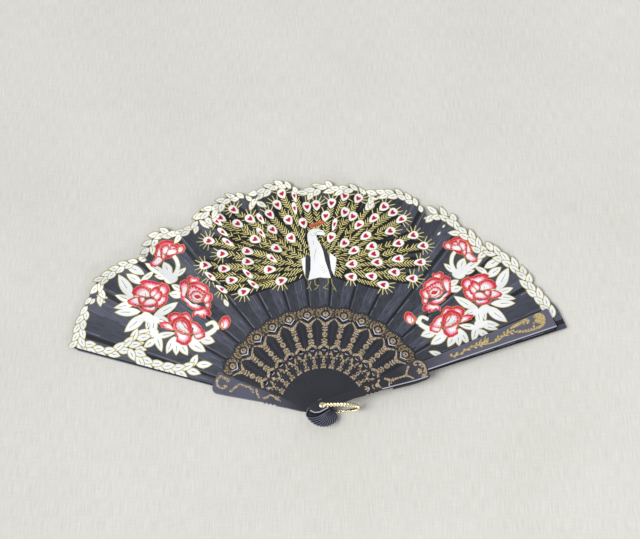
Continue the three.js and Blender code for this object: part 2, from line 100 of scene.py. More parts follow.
class Shading:
    """One material's node tree, with a short call for each kind of node that finishes share."""

    def __init__(self, name: str) -> None:
        """Start a material that holds only the place on the body.

        Args:
            name: the finish in plain words.
        """
        self.material = bpy.data.materials.new(name)
        self.material.use_nodes = True
        self.tree = self.material.node_tree
        self.tree.nodes.clear()
        self.place = self.add("TexCoord").outputs["Object"]

    def add(self, kind: str, settings: dict | None = None, links: dict | None = None) -> bpy.types.Node:
        """Add one shader node.

        Args:
            kind: Blender's name of the node type, without its prefix.
            settings: values by the name of an attribute, or by the name or number of an input.
            links: sockets to link from, by the name or number of an input.

        Returns:
            The new node.
        """
        node = self.tree.nodes.new(f"ShaderNode{kind}")
        for name, value in (settings or {}).items():
            if isinstance(name, str) and hasattr(node, name):
                setattr(node, name, value)
            else:
                node.inputs[name].default_value = value
        for name, socket in (links or {}).items():
            self.tree.links.new(socket, node.inputs[name])
        return node

    def noise(self, size: float, detail: float, roughness: float = 0.5) -> bpy.types.NodeSocket:
        """Return noise whose patches are about so many millimetres wide."""
        settings = {"Scale": 1 / (size * MM), "Detail": detail, "Roughness": roughness}
        return self.add("TexNoise", settings, {"Vector": self.place}).outputs["Fac"]

    def stretched_noise(
            self, place: bpy.types.NodeSocket, scale: tuple[float, float], detail: float,
            roughness: float = 0.5) -> bpy.types.NodeSocket:
        """Return noise drawn out by its own scale along x and along y."""
        stretch = self.add("Mapping", {"Scale": (*scale, 1)}, {"Vector": place})
        settings = {"Scale": 1.0, "Detail": detail, "Roughness": roughness}
        return self.add("TexNoise", settings, {"Vector": stretch.outputs["Vector"]}).outputs["Fac"]

    def ranged(
            self, value: bpy.types.NodeSocket, low: float, high: float,
            start: float = 0.0, end: float = 1.0) -> bpy.types.NodeSocket:
        """Return the value with its range from low to high laid onto start to end."""
        settings = {"From Min": low, "From Max": high, "To Min": start, "To Max": end}
        return self.add("MapRange", settings, {"Value": value}).outputs["Result"]

    def combine(self, operation: str, settings: dict, links: dict) -> bpy.types.NodeSocket:
        """Return the result of one operation on numbers."""
        return self.add("Math", {"operation": operation, **settings}, links).outputs["Value"]

    def mix(self, share: bpy.types.NodeSocket, first: str, second: str) -> bpy.types.NodeSocket:
        """Return a colour between two hex colours."""
        settings = {"data_type": "RGBA", 6: linear(first), 7: linear(second)}
        return self.add("Mix", settings, {"Factor": share}).outputs[2]

    def bump(self, height: bpy.types.NodeSocket, strength: float, depth: float) -> bpy.types.NodeSocket:
        """Return the normal of a surface that is uneven by so many millimetres."""
        settings = {"Strength": strength, "Distance": depth * MM}
        return self.add("Bump", settings, {"Height": height}).outputs["Normal"]

    def surface(self, settings: dict, links: dict) -> bpy.types.Material:
        """Close the tree with its surface and return the material."""
        shader = self.add("BsdfPrincipled", settings, links)
        self.add("OutputMaterial", {}, {"Surface": shader.outputs["BSDF"]})
        return self.material


@dataclass(frozen=True)
class MouldedPolystyrene:
    """High-impact polystyrene, injection moulded in a black compound.

    The skin copies the steel mould, so it is glossy with a faint orange peel. A lighter colour is mixed
    in, in patches and more so away from the rivet: painted reflection on the guards' tops, and painted
    highlight on the rounded edges, the lands and the rib.
    """

    name: str
    colour: str
    haze: str
    roughness: float
    gloss: float = 0.5
    haze_start: float = 0.0
    haze_end: float = 1.0
    haze_patch: float = 14.0
    haze_roughness: float = 0.12
    # What the distance from the rivet adds to the haze, from its start to its end
    haze_near: float = -0.3
    haze_far: float = 0.7
    patch_share: float = 0.6
    peel: float = 1.6
    peel_depth: float = 0.05
    peel_strength: float = 0.25
    noise_range: Point = (0.35, 0.7)

    def build(self) -> bpy.types.Material:
        """Build the material."""
        shading = Shading(self.name)
        patches = shading.noise(self.haze_patch, 3.0)
        dulled = shading.ranged(
            patches, *self.noise_range, self.roughness, self.roughness + self.haze_roughness)
        # Lighter away from the rivet: painted reflection on the guards, painted highlight on the sticks'
        # rounded edges
        reach = shading.add("VectorMath", {"operation": "LENGTH"}, {0: shading.place})
        rubbed = shading.ranged(
            reach.outputs["Value"], self.haze_start * MM, self.haze_end * MM, self.haze_near, self.haze_far)
        share = shading.combine(
            "MULTIPLY_ADD", {1: self.patch_share, "use_clamp": True}, {0: patches, 2: rubbed})
        skin = shading.bump(shading.noise(self.peel, 1.0), self.peel_strength, self.peel_depth)
        return shading.surface(
            {"IOR": 1.59, "Specular IOR Level": self.gloss},
            {"Base Color": shading.mix(share, self.colour, self.haze), "Roughness": dulled, "Normal": skin})


@dataclass(frozen=True)
class HotStampedFoil:
    """Gold-coloured aluminium foil, hot stamped on the raised ornament.

    Stamping over a moulded relief leaves the metal slightly rough and rubbed brown in patches.
    """

    name: str
    colour: str
    rubbed: str
    roughness: float
    metal: float
    patch: float = 1.1
    grain_depth: float = 0.06
    grain_strength: float = 0.35
    noise_range: Point = (0.4, 0.62)

    def build(self) -> bpy.types.Material:
        """Build the material."""
        shading = Shading(self.name)
        rub = shading.noise(self.patch, 3.0, 0.6)
        tone = shading.mix(shading.ranged(rub, *self.noise_range), self.colour, self.rubbed)
        grain = shading.bump(rub, self.grain_strength, self.grain_depth)
        return shading.surface(
            {"Metallic": self.metal, "Roughness": self.roughness}, {"Base Color": tone, "Normal": grain})


@dataclass(frozen=True)
class WovenCloth:
    """Polyester taffeta: fine plain weave, piece dyed, and pigment printed where it carries a colour.

    Dyed yarn gives a dark ground with a cool sheen and faint streaks along the pleats. Printing
    paste fills the weave, so a printed colour is flatter and shows less thread.
    """

    name: str
    colour: str
    streak_and_sheen: str
    sheen: float = 0.0
    roughness: float = 0.5
    thread_strength: float = 0.22
    sheen_colour: str = "#cdd2e2"
    sheen_roughness: float = 0.35
    # The yarns are 0.25 mm apart, too fine for this view, so they are drawn 0.9 mm apart
    thread: float = 0.9
    thread_depth: float = 0.08
    streak_width: float = 2.0
    streak_length: float = 11.0
    # Painted sheen: the colour moves towards the lighter streak colour on the outer folds, towards both ends
    # of the fan
    side_sheen: float = 0.55
    side_sheen_start: float = 45.0
    side_sheen_end: float = 150.0
    noise_range: Point = (0.35, 0.75)

    def build(self) -> bpy.types.Material:
        """Build the material."""
        shading = Shading(self.name)
        flat = shading.add("UVMap", {"uv_map": "cloth"}).outputs["UV"]
        scale = CLOTH_MAP / self.streak_width, CLOTH_MAP / self.streak_length
        streaks = shading.ranged(shading.stretched_noise(flat, scale, 4.0, 0.6), *self.noise_range)
        # Painted sheen: lighter with distance from the fan's middle line
        apart = shading.add("SeparateXYZ", {}, {"Vector": shading.place})
        aside = shading.combine("ABSOLUTE", {}, {0: apart.outputs["X"]})
        side_sheen_share = shading.ranged(aside, self.side_sheen_start * MM, self.side_sheen_end * MM, 0.0, self.side_sheen)
        share = shading.combine("ADD", {"use_clamp": True}, {0: streaks, 1: side_sheen_share})
        # A wave texture repeats every pi / 10 of its coordinate at scale 1
        waves = {"Scale": math.pi / 10 * CLOTH_MAP / self.thread}
        warp, weft = (
            shading.add("TexWave", {"bands_direction": way, **waves}, {"Vector": flat}).outputs["Fac"]
            for way in ("X", "Y"))
        weave = shading.bump(
            shading.combine("MAXIMUM", {}, {0: warp, 1: weft}), self.thread_strength, self.thread_depth)
        return shading.surface(
            {"Roughness": self.roughness, "Specular IOR Level": 0.4, "Sheen Weight": self.sheen,
             "Sheen Roughness": self.sheen_roughness, "Sheen Tint": linear(self.sheen_colour)},
            {"Base Color": shading.mix(share, self.colour, self.streak_and_sheen), "Normal": weave})


@dataclass(frozen=True)
class DrawnBrass:
    """Brass wire and sheet, drawn and tumbled bright: warm metal with fine handling marks."""

    name: str
    colour: str
    roughness: float = 0.2
    mark: float = 0.5
    mark_roughness: float = 0.16
    mark_depth: float = 0.04
    mark_strength: float = 0.12
    noise_range: Point = (0.3, 0.7)

    def build(self) -> bpy.types.Material:
        """Build the material."""
        shading = Shading(self.name)
        marks = shading.noise(self.mark, 3.0)
        gloss = shading.ranged(
            marks, *self.noise_range, self.roughness, self.roughness + self.mark_roughness)
        return shading.surface(
            {"Base Color": linear(self.colour), "Metallic": 1.0},
            {"Roughness": gloss, "Normal": shading.bump(marks, self.mark_strength, self.mark_depth)})


@dataclass(frozen=True)
class PaleTable:
    """Matt laminate, embossed as linen: fine threads that run away from the holder."""

    name: str
    colour: str
    grain: str
    # The threads are about 0.4 mm wide, too fine for this view, so they are drawn twice as wide
    grain_width: float = 0.9
    grain_length: float = 14.0
    grain_depth: float = 0.06
    grain_strength: float = 0.2
    cross_share: float = 0.45
    cloud: float = 120.0
    cloud_share: float = 0.4
    noise_range: Point = (0.62, 1.22)

    def build(self) -> bpy.types.Material:
        """Build the material."""
        shading = Shading(self.name)
        fine, long = 1 / (self.grain_width * MM), 1 / (self.grain_length * MM)
        away = shading.stretched_noise(shading.place, (fine, long), 2.0)
        across = shading.stretched_noise(shading.place, (long, fine), 2.0)
        weave = shading.combine("MULTIPLY_ADD", {1: self.cross_share}, {0: across, 2: away})
        clouds = shading.noise(self.cloud, 2.0)
        both = shading.combine("MULTIPLY_ADD", {1: self.cloud_share}, {0: clouds, 2: weave})
        tone = shading.mix(shading.ranged(both, *self.noise_range), self.colour, self.grain)
        bump = shading.bump(weave, self.grain_strength, self.grain_depth)
        return shading.surface(
            {"Roughness": 0.8, "Specular IOR Level": 0.2}, {"Base Color": tone, "Normal": bump})


class Ink(Enum):
    """What covers the cloth at a place: the bare dyed cloth, one of the printed colours, or painted light
    and shade on the pleats.
    """

    CLOTH = WovenCloth("taffeta_dyed_black", "#26282f", "#454853", 0.3, 0.62, 0.5)
    # Painted light: a lighter cloth on the pleat faces that turn towards the lamp
    BRUSHED = WovenCloth("taffeta_dyed_black_brushed", "#30323c", "#545765", 0.35, 0.6, 0.5)
    # Painted shade: near-black bands on the pleat faces that turn away from the lamp
    SHADED = WovenCloth("taffeta_dyed_black_pressed", "#111215", "#1e2026", 0.06, 0.7, 0.5)
    # Pale specks along the folds: partly wear, partly painted highlight on the fold ridges
    CREASE = WovenCloth("taffeta_crease_worn", "#595d6c", "#757989", 0.4, 0.6, 0.5)
    # Black print, also laid as painted shadow beside the front blade and as painted shade along the back
    # blade's edge
    GROUND = WovenCloth("print_black_ground", "#0c0d10", "#191a1f", 0.04, 0.6, 0.3)
    GOLD = WovenCloth("print_old_gold", "#eae198", "#cbc074")
    BRONZE = WovenCloth("print_bronze", "#8d7a3c", "#766630")
    RIM = WovenCloth("print_olive_rim", "#aea562", "#8f864b")
    CREAM = WovenCloth("print_cream", "#f4f2d4", "#e6e3be", 0.0, 0.55)
    WHITE = WovenCloth("print_white", "#fbfcfc", "#f1f2f2", 0.0, 0.55)
    VEIN = WovenCloth("print_grey_vein", "#8d9088", "#74776f", 0.0, 0.55)
    RED = WovenCloth("print_rose_red", "#de3450", "#cb2944")
    ROSE = WovenCloth("print_rose_pink", "#ec7287", "#e35b73")
    WINE = WovenCloth("print_wine", "#9c1836", "#8c1430")
    BLUSH = WovenCloth("print_blush", "#f7cdd4", "#f2b3be")
    AMBER = WovenCloth("print_amber", "#e0a862", "#cc8b4b")
    CORAL = WovenCloth("print_coral", "#cb5848", "#b04539")
    BACK = WovenCloth("taffeta_dyed_black_back", "#26282f", "#3c3f49", 0.5, 0.65, 0.5)


class Finish(Enum):
    """The finishes of the hard pieces and of the table."""

    STICK = MouldedPolystyrene("polystyrene_black_stick", "#111215", "#292a33", 0.4, 0.4)
    # Painted highlight: the sticks' rounded edges, lighter away from the rivet
    STICK_EDGE = MouldedPolystyrene(
        "polystyrene_black_stick_edge", "#16171b", "#4c4e5c", 0.3, 0.3, 14.0, 34.0)
    # The guards' lighter tone, rising away from the rivet, is painted reflection of the room on their glossy
    # tops
    BACK_GUARD = MouldedPolystyrene(
        "polystyrene_black_back_guard", "#292a33", "#565869", 0.26, 0.5, 15.0, 60.0)
    FRONT_GUARD = MouldedPolystyrene(
        "polystyrene_black_front_guard", "#26272f", "#605f6e", 0.26, 0.5, 70.0, 130.0)
    # Painted highlight: a pale lavender line along the front guard's lower edge and round its head
    GUARD_EDGE = MouldedPolystyrene("polystyrene_black_guard_edge", "#8d8fa6", "#b4b6c8", 0.22)
    # Painted highlight: the light rib along each stick's tail
    RIB = MouldedPolystyrene("polystyrene_black_worn_rib", "#4c4e5b", "#74768a", 0.28)
    # Painted shade: near-black upright walls, the wall under the front guard, and the dark line on the
    # sticks' tails
    GROOVE = MouldedPolystyrene("polystyrene_black_rough_wall", "#060607", "#0e0e10", 0.6, 0.25)
    # Painted highlight: pale glints by the slots, standing in for reflections on glossy bevels
    LAND = MouldedPolystyrene("polystyrene_black_polished_land", "#a4a8ba", "#c6cad8", 0.2)
    FOIL = HotStampedFoil("foil_old_gold", "#dac6a6", "#77644c", 0.4, 0.35)
    DULL_FOIL = HotStampedFoil("foil_old_gold_rubbed", "#b39d78", "#453b2e", 0.45, 0.35)
    BRIGHT_FOIL = HotStampedFoil("foil_bright_gold", "#ead79c", "#a98f57", 0.36, 0.4)
    BRASS = DrawnBrass("brass_bright", "#f8ecc8")
    TABLE = PaleTable("laminate_linen_pale", "#e0ded7", "#cecdc5")


class MaterialShelf:
    """Builds each finish once and hands it out."""

    def __init__(self) -> None:
        """Start with an empty shelf."""
        self.made: dict[str, bpy.types.Material] = {}

    def get(self, finish: Ink | Finish) -> bpy.types.Material:
        """Return the finish's material, made on first use."""
        if finish.value.name not in self.made:
            self.made[finish.value.name] = finish.value.build()
        return self.made[finish.value.name]


SHELF = MaterialShelf()


def between(a: float, b: float, share: float) -> float:
    """Return the value at a share of the way from a to b."""
    return a + (b - a) * share


def step_towards(start: Point, end: Point, share: float) -> Point:
    """Return the point at a share of the way from start to end."""
    return between(start[0], end[0], share), between(start[1], end[1], share)


def offset(point: Point, angle: float, distance: float) -> Point:
    """Return the point that lies a distance away at an angle in radians."""
    return point[0] + distance * math.cos(angle), point[1] + distance * math.sin(angle)


def angle_of(start: Point, end: Point) -> float:
    """Return the direction from start to end in radians."""
    return math.atan2(end[1] - start[1], end[0] - start[0])


def mirrored(half: Outline) -> Outline:
    """Close an outline that is drawn for positive second values only."""
    return half + [(u, -v) for u, v in reversed(half) if v > 0]


def counter_clockwise(outline: Outline) -> Outline:
    """Return the outline in counter-clockwise order."""
    doubled = sum(a[0] * b[1] - b[0] * a[1] for a, b in zip(outline, outline[1:] + outline[:1]))
    return outline if doubled > 0 else outline[::-1]


def middle_of(points: Outline) -> Point:
    """Return the mean of some points."""
    return sum(p[0] for p in points) / len(points), sum(p[1] for p in points) / len(points)


def pointed_oval(base: Point, tip: Point, width: float, belly: float = 0.45, steps: int = 6) -> Outline:
    """Draw a leaf shape.

    Args:
        base: its stalk end.
        tip: its pointed end.
        width: its greatest width.
        belly: where along its length it is widest.
        steps: stretches along each side.

    Returns:
        The outline.
    """
    angle = angle_of(base, tip)
    length = math.dist(base, tip)
    power = math.log(0.5) / math.log(belly)
    left, right = [], []
    for k in range(1, steps):
        share = k / steps
        half = width / 2 * math.sin(math.pi * share ** power) ** LEAF_ROUND
        middle = offset(base, angle, share * length)
        left.append(offset(middle, angle + math.pi / 2, half))
        right.append(offset(middle, angle - math.pi / 2, half))
    return [base, *right, tip, *left[::-1]]


def oval(centre: Point, length: float, width: float, angle: float = 0.0, steps: int = 14) -> Outline:
    """Draw an ellipse with its length at an angle in radians."""
    outline = []
    for k in range(steps):
        turn = 2 * math.pi * k / steps
        x, y = length / 2 * math.cos(turn), width / 2 * math.sin(turn)
        outline.append((centre[0] + x * math.cos(angle) - y * math.sin(angle),
                        centre[1] + x * math.sin(angle) + y * math.cos(angle)))
    return outline


def egg(centre: Point, length: float, width: float, angle: float, steps: int = 14) -> Outline:
    """Draw an egg whose blunt end points at an angle in radians."""
    outline = []
    for k in range(steps):
        turn = 2 * math.pi * k / steps
        middle = offset(centre, angle, length / 2 * math.cos(turn))
        across = width / 2 * math.sin(turn) * (1 + EGG_BLUNT * math.cos(turn))
        outline.append(offset(middle, angle + math.pi / 2, across))
    return outline


def curve_through(points: Outline, steps: int) -> Outline:
    """Return a smooth line through the points, with so many steps between neighbours."""
    ends = [points[0], *points, points[-1]]
    line = []
    for k in range(1, len(ends) - 2):
        a, b, c, d = ends[k - 1:k + 3]
        for j in range(steps):
            t = j / steps
            line.append(tuple(
                0.5 * (2 * b[m] + (c[m] - a[m]) * t + (2 * a[m] - 5 * b[m] + 4 * c[m] - d[m]) * t ** 2
                       + (3 * b[m] - a[m] - 3 * c[m] + d[m]) * t ** 3) for m in (0, 1)))
    return [*line, points[-1]]


def stroke(points: Outline, start_width: float, end_width: float | None = None) -> Outline:
    """Draw a band along a line, its width changing evenly from the first point to the last."""
    end_width = start_width if end_width is None else end_width
    left, right = [], []
    for k, point in enumerate(points):
        before, after = points[max(0, k - 1)], points[min(len(points) - 1, k + 1)]
        normal = angle_of(before, after) + math.pi / 2
        half = between(start_width, end_width, k / (len(points) - 1)) / 2
        left.append(offset(point, normal, half))
        right.append(offset(point, normal, -half))
    return right + left[::-1]


def curved_stroke(
        points: Iterable[Point], steps: int, start_width: float, end_width: float | None = None) -> Outline:
    """Draw a band along the smooth line through some points."""
    return stroke(curve_through(list(points), steps), start_width, end_width)


def side_walls(front: list[tuple[int, ...]], count: int) -> list[tuple[int, ...]]:
    """Return the faces between a sheet's rim and the same points so many numbers further on."""
    directed = {edge for a, b, c in front for edge in ((a, b), (b, c), (c, a))}
    return sorted((b, a, a + count, b + count) for a, b in directed if (b, a) not in directed)


def report(piece: bpy.types.Object) -> None:
    """Log a piece's name and its number of faces."""
    LOG.info("%s: %d faces", piece.name, len(piece.data.polygons))


def new_piece(
        name: str, points: Iterable[Vector], faces: list[tuple[int, ...]], finishes: Iterable[Ink | Finish],
        slots: list[int] | None = None) -> bpy.types.Object:
    """Make a piece and put it into the scene.

    Args:
        name: the piece's name.
        points: its points in metres.
        faces: its faces, as numbers of points.
        finishes: its finishes.
        slots: the number of each face's finish, if there is more than one.

    Returns:
        The new piece.
    """
    mesh = bpy.data.meshes.new(name)
    mesh.from_pydata(points, [], faces)
    for finish in finishes:
        mesh.materials.append(SHELF.get(finish))
    mesh.polygons.foreach_set("material_index", slots or [0] * len(faces))
    piece = bpy.data.objects.new(name, mesh)
    bpy.context.scene.collection.objects.link(piece)
    return piece


@dataclass(frozen=True)
class OpenFan:
    """Where the CAD model's pieces lie in the open fan."""

    gaps: int = 13
    open_angle: float = 141.05
    back_azimuth: float = 163.5
    first_stick: float = 3.3
    stick_pitch: float = 1.2
    stick_thick: float = 0.8
    front_top: float = 21.4
    front_blade_top: float = 20.4
    back_top: float = 2.8
    gorge_radius: float = 92.5
    inner_gap: float = -5.5
    seat_radius: float = 94.0
    seat_run: float = 2.0
    seat_dip: float = 0.45
    leaf_radius: float = 208.0
    leaf_over_stick: float = 0.7
    leaf_over_back: float = 2.45
    leaf_under_front: float = 18.15
    pleat_rise: float = 2.5
    pleat_step: float = 0.6
    valley_start: float = 0.95
    mountain_start: float = 0.35
    pleat_power: float = 0.8
    glue_share: float = 0.07
    fold_share: float = 0.25
    fold_power: float = 1.2
    # Cloth that spans from moulding to moulding hangs through a little
    sag: float = 0.45
    long_ripple: float = 0.16
    short_ripple: float = 0.09
    edge_ripple: float = 0.16
    edge_ripple_start: float = 185.0
    edge_ripple_run: float = 30.0
    hem: float = 2.2
    trim_inner: float = 4.4
    trim_outer: float = 7.0
    # The cloth's edge, lobe by lobe: where it starts and where it peaks, each with its radius
    scallop_power: float = 2.0
    scallops: tuple[tuple[float, float, float, float], ...] = (
        (-0.7, 212.0, 1.35, 229.8), (2.3, 209.5, 2.88, 222.6), (3.25, 208.5, 3.5, 210.5),
        (3.68, 210.0, 4.05, 219.3), (4.3, 215.5, 4.68, 220.8), (5.2, 206.5, 5.78, 221.6),
        (6.24, 207.0, 6.4, 208.5), (6.52, 208.5, 6.8, 217.2), (7.18, 210.0, 7.52, 215.4),
        (8.07, 207.0, 8.6, 220.4), (9.34, 205.0, 9.74, 218.4), (10.2, 210.3, 10.55, 213.0),
        (10.9, 208.3, 11.8, 221.8), (12.3, 217.8, 12.95, 226.4), (14.3, 215.6, 14.5, 215.6))

    @property
    def pitch(self) -> float:
        """Return the angle between neighbouring mouldings in radians."""
        return math.radians(self.open_angle / self.gaps)

    @property
    def axis(self) -> Vector:
        """Return the rivet's direction, as the first hinge has it."""
        return Vector(frame["joints"][0]["axis"]).normalized()

    def rotation(self, index: int) -> Matrix:
        """Return the turn from the closed frame of a moulding to the open fan."""
        base = Matrix.Rotation(math.radians(self.back_azimuth), 3, "Z")
        return Matrix.Rotation(-index * self.pitch, 3, self.axis) @ base

    def on_moulding(self, index: int, u: float, v: float, h: float) -> Vector:
        """Return the open fan's point for u outwards, v to the left and h up the stack."""
        local_axis = Matrix.Rotation(-math.radians(self.back_azimuth), 3, "Z") @ self.axis
        return self.rotation(index) @ (local_axis * (h / local_axis.z) + Vector((u, v, 0)))

    def plan(self, place: float, radius: float) -> Point:
        """Return the plan point at a place, counted in pitches clockwise from the back guard."""
        angle = math.radians(self.back_azimuth) - place * self.pitch
        return radius * math.cos(angle), radius * math.sin(angle)

    def polar(self, point: Point) -> tuple[float, float]:
        """Return the place and the radius of a plan point."""
        angle = math.atan2(point[1], point[0])
        if angle < -math.pi / 2:
            angle += 2 * math.pi
        return (math.radians(self.back_azimuth) - angle) / self.pitch, math.hypot(*point)

    def leaf_height(self, index: int) -> float:
        """Return the height of the cloth's middle where it is glued to a moulding."""
        if index == 0:
            return self.leaf_over_back
        if index == self.gaps:
            return self.leaf_under_front
        return self.first_stick + (index - 1) * self.stick_pitch + self.leaf_over_stick

    def pleat(self, index: int) -> tuple[float, float]:
        """Return how far the valley falls and the mountain rises beside a moulding."""
        if index in (0, self.gaps):
            return 0.0, 0.0
        return (min(self.pleat_rise, self.valley_start + self.pleat_step * (index - 1)),
                min(self.pleat_rise, self.mountain_start + self.pleat_step * (self.gaps - 1 - index)))

    def pleat_share(self, radius: float) -> float:
        """Return the share of the full pleat depth at a radius."""
        out = max(0.0, radius - self.gorge_radius) / (self.leaf_radius - self.gorge_radius)
        return out ** self.pleat_power

    def scallop(self, place: float) -> float:
        """Return the radius of the leaf's outer edge."""
        for low, high in zip(self.scallops, self.scallops[1:]):
            if place < high[0]:
                start, start_radius, peak, peak_radius = low
                foot, foot_radius = (start, start_radius) if place < peak else high[:2]
                out = min(1.0, (peak - place) / (peak - foot))
                return peak_radius - (peak_radius - foot_radius) * out ** self.scallop_power
        return self.scallops[-1][1]

    def trim(self, radius: float) -> float:
        """Return where the leaf's first edge lies over the back guard, as a share of a pitch."""
        along = (radius - self.gorge_radius) / (self.leaf_radius - self.gorge_radius)
        half = between(self.trim_inner, self.trim_outer, along)
        return max(-self.fold_share, -math.asin(half / radius) / self.pitch)

    def span(self, panel: int, radius: float) -> tuple[float, float]:
        """Return the shares between which a panel of the leaf reaches at a radius."""
        if panel == 0:
            return self.trim(radius), 1 - self.fold_share
        if panel == self.gaps:
            return -self.fold_share, self.fold_share + self.hem / (self.leaf_radius * self.pitch)
        return -self.fold_share, 1 - self.fold_share

    def glued(self, index: int, share: float, radius: float) -> Vector:
        """Return a point of the cloth's face that is glued to a moulding."""
        valley, mountain = self.pleat(index)
        beyond = max(0.0, abs(share) - self.glue_share) / (self.fold_share - self.glue_share)
        rise = (mountain if share > 0 else -valley) * beyond ** self.fold_power * self.pleat_share(radius)
        angle = -share * self.pitch
        return self.on_moulding(
            index, radius * math.cos(angle), radius * math.sin(angle), self.leaf_height(index) + rise)

    def leaf(self, panel: int, share: float, radius: float) -> Vector:
        """Return a point of the cloth's middle surface in a panel."""
        if share <= self.fold_share or panel == self.gaps:
            point = self.glued(panel, share, radius)
        else:
            across = (share - self.fold_share) / (1 - 2 * self.fold_share)
            start = self.glued(panel, self.fold_share, radius)
            end = self.glued(panel + 1, -self.fold_share, radius)
            point = start.lerp(end, across)
            stretch = radius / math.hypot(point.x, point.y)
            sag = self.sag * math.sin(math.pi * across) * self.pleat_share(radius)
            point = Vector((point.x * stretch, point.y * stretch, point.z - sag))
        seat = self.seat_dip * min(1.0, max(0.0, (self.seat_radius - radius) / self.seat_run))
        return point + Vector((0, 0, self.ripple(panel + share, radius) - seat))

    def ripple(self, place: float, radius: float) -> float:
        """Return the small rise and fall of cloth that has been folded many times."""
        out = self.pleat_share(radius)
        # The waves' lengths have no common measure, so no ripple comes twice
        long_wave = math.sin(0.105 * radius + 2.3 * place) * math.sin(2.9 * place + 0.03 * radius)
        short_wave = math.sin(0.31 * radius - 7.1 * place) * math.sin(4.7 * place + 0.9)
        out_here = max(0.0, (radius - self.edge_ripple_start) / self.edge_ripple_run)
        edge_wave = math.sin(13.0 * place + 0.02 * radius) * out_here
        return out * (
            self.long_ripple * long_wave + self.short_ripple * short_wave + self.edge_ripple * edge_wave)


FAN = OpenFan()


@dataclass
class Mark:
    """One printed shape; an edge mark also cuts the cloth's outline."""

    ink: Ink
    outline: Outline
    edge: bool = False


@dataclass
class PrintSheet:
    """The print in plan, in the order that the screens are laid down."""

    marks: list[Mark] = field(default_factory=list)
    # A leaf's rim is wider at the tip by this factor
    leaf_rim: float = 0.45
    tip_rim: float = 1.6

    def lay(self, ink: Ink, outline: Outline, edge: bool = False) -> None:
        """Lay one shape of ink over the shapes before it."""
        self.marks.append(Mark(ink, counter_clockwise(outline), edge))

    def lay_placed(self, ink: Ink, outline: Outline, place: Callable[[Point], Point]) -> None:
        """Lay one shape of ink where a placing function puts it."""
        self.lay(ink, [place(point) for point in outline])

    def leaf(self, base: Point, tip: Point, width: float, edge: bool = False) -> None:
        """Print a white leaf with an olive rim and a grey vein.

        Args:
            base: its stalk end.
            tip: its pointed end.
            width: its width inside the rim.
            edge: whether the cloth is cut along it.
        """
        angle, rim = angle_of(base, tip), self.leaf_rim
        outside = pointed_oval(
            offset(base, angle, -rim), offset(tip, angle, self.tip_rim * rim), width + 2 * rim)
        self.lay(Ink.RIM, outside, edge)
        self.lay(Ink.CREAM, pointed_oval(base, tip, width), edge)
        for ink, start, end, inner_width, steps in (
                (Ink.WHITE, 0.05, 0.93, 0.78 * width, 6), (Ink.VEIN, 0.3, 0.75, 0.08 * width + 0.14, 3)):
            self.lay(ink, pointed_oval(
                step_towards(base, tip, start), step_towards(base, tip, end), inner_width, steps=steps))


@dataclass(frozen=True)
class Garland:
    """Laurel in two rows, whose leaves point along the line that it grows on."""

    spacing: float = 4.0
    length: float = 11.0
    width: float = 5.4
    slant: float = 20.0
    # The young end has small leaves in one row, and the full end spreads its last leaves
    young_size: float = 0.74
    young_share: float = 0.2
    growth: float = 2.2
    spread: float = 14.0
    spread_leaves: int = 5
    # How far the leaves stand off the middle line, and how much they differ
    stand_off: float = 0.3
    slant_play: float = 0.16
    length_play: float = 0.08

    def lay(
            self, sheet: PrintSheet, line: Outline, on_edge: bool,
            size: float = 1.0, young: bool = False) -> None:
        """Print the garland along a line.

        Args:
            sheet: the print.
            line: the garland's middle line, in the direction of growth.
            on_edge: whether the row on the right is also the cloth's edge.
            size: scale of the leaves.
            young: whether it starts with small leaves.
        """
        places = self._walk(line, self.spacing * size)
        for k, (point, angle) in reversed(list(enumerate(places))):
            share = k / len(places)
            side = 1 if k % 2 else -1
            if young and side > 0 and share < self.young_share:
                continue
            grown = size
            if young:
                grown = size * between(self.young_size, 1.0, min(1.0, self.growth * share))
            last = max(0.0, 1 - (len(places) - 1 - k) / self.spread_leaves)
            play = 1 + self.slant_play * math.sin(2.1 * k)
            slant = side * math.radians((self.slant + self.spread * last) * play)
            base = offset(point, angle + side * math.pi / 2, self.stand_off * size)
            length = self.length * grown * (1 + self.length_play * math.sin(3.7 * k))
            tip = offset(base, angle + slant, length)
            sheet.leaf(base, tip, self.width * grown, on_edge and side < 0)

    @staticmethod
    def _walk(line: Outline, spacing: float) -> list[tuple[Point, float]]:
        """Return points at even spacing along the line, each with the line's direction."""
        places = []
        left_over = 0.0
        for start, end in zip(line, line[1:]):
            length = math.dist(start, end)
            while left_over < length:
                places.append((step_towards(start, end, left_over / length), angle_of(start, end)))
                left_over += spacing
            left_over -= length
        return places


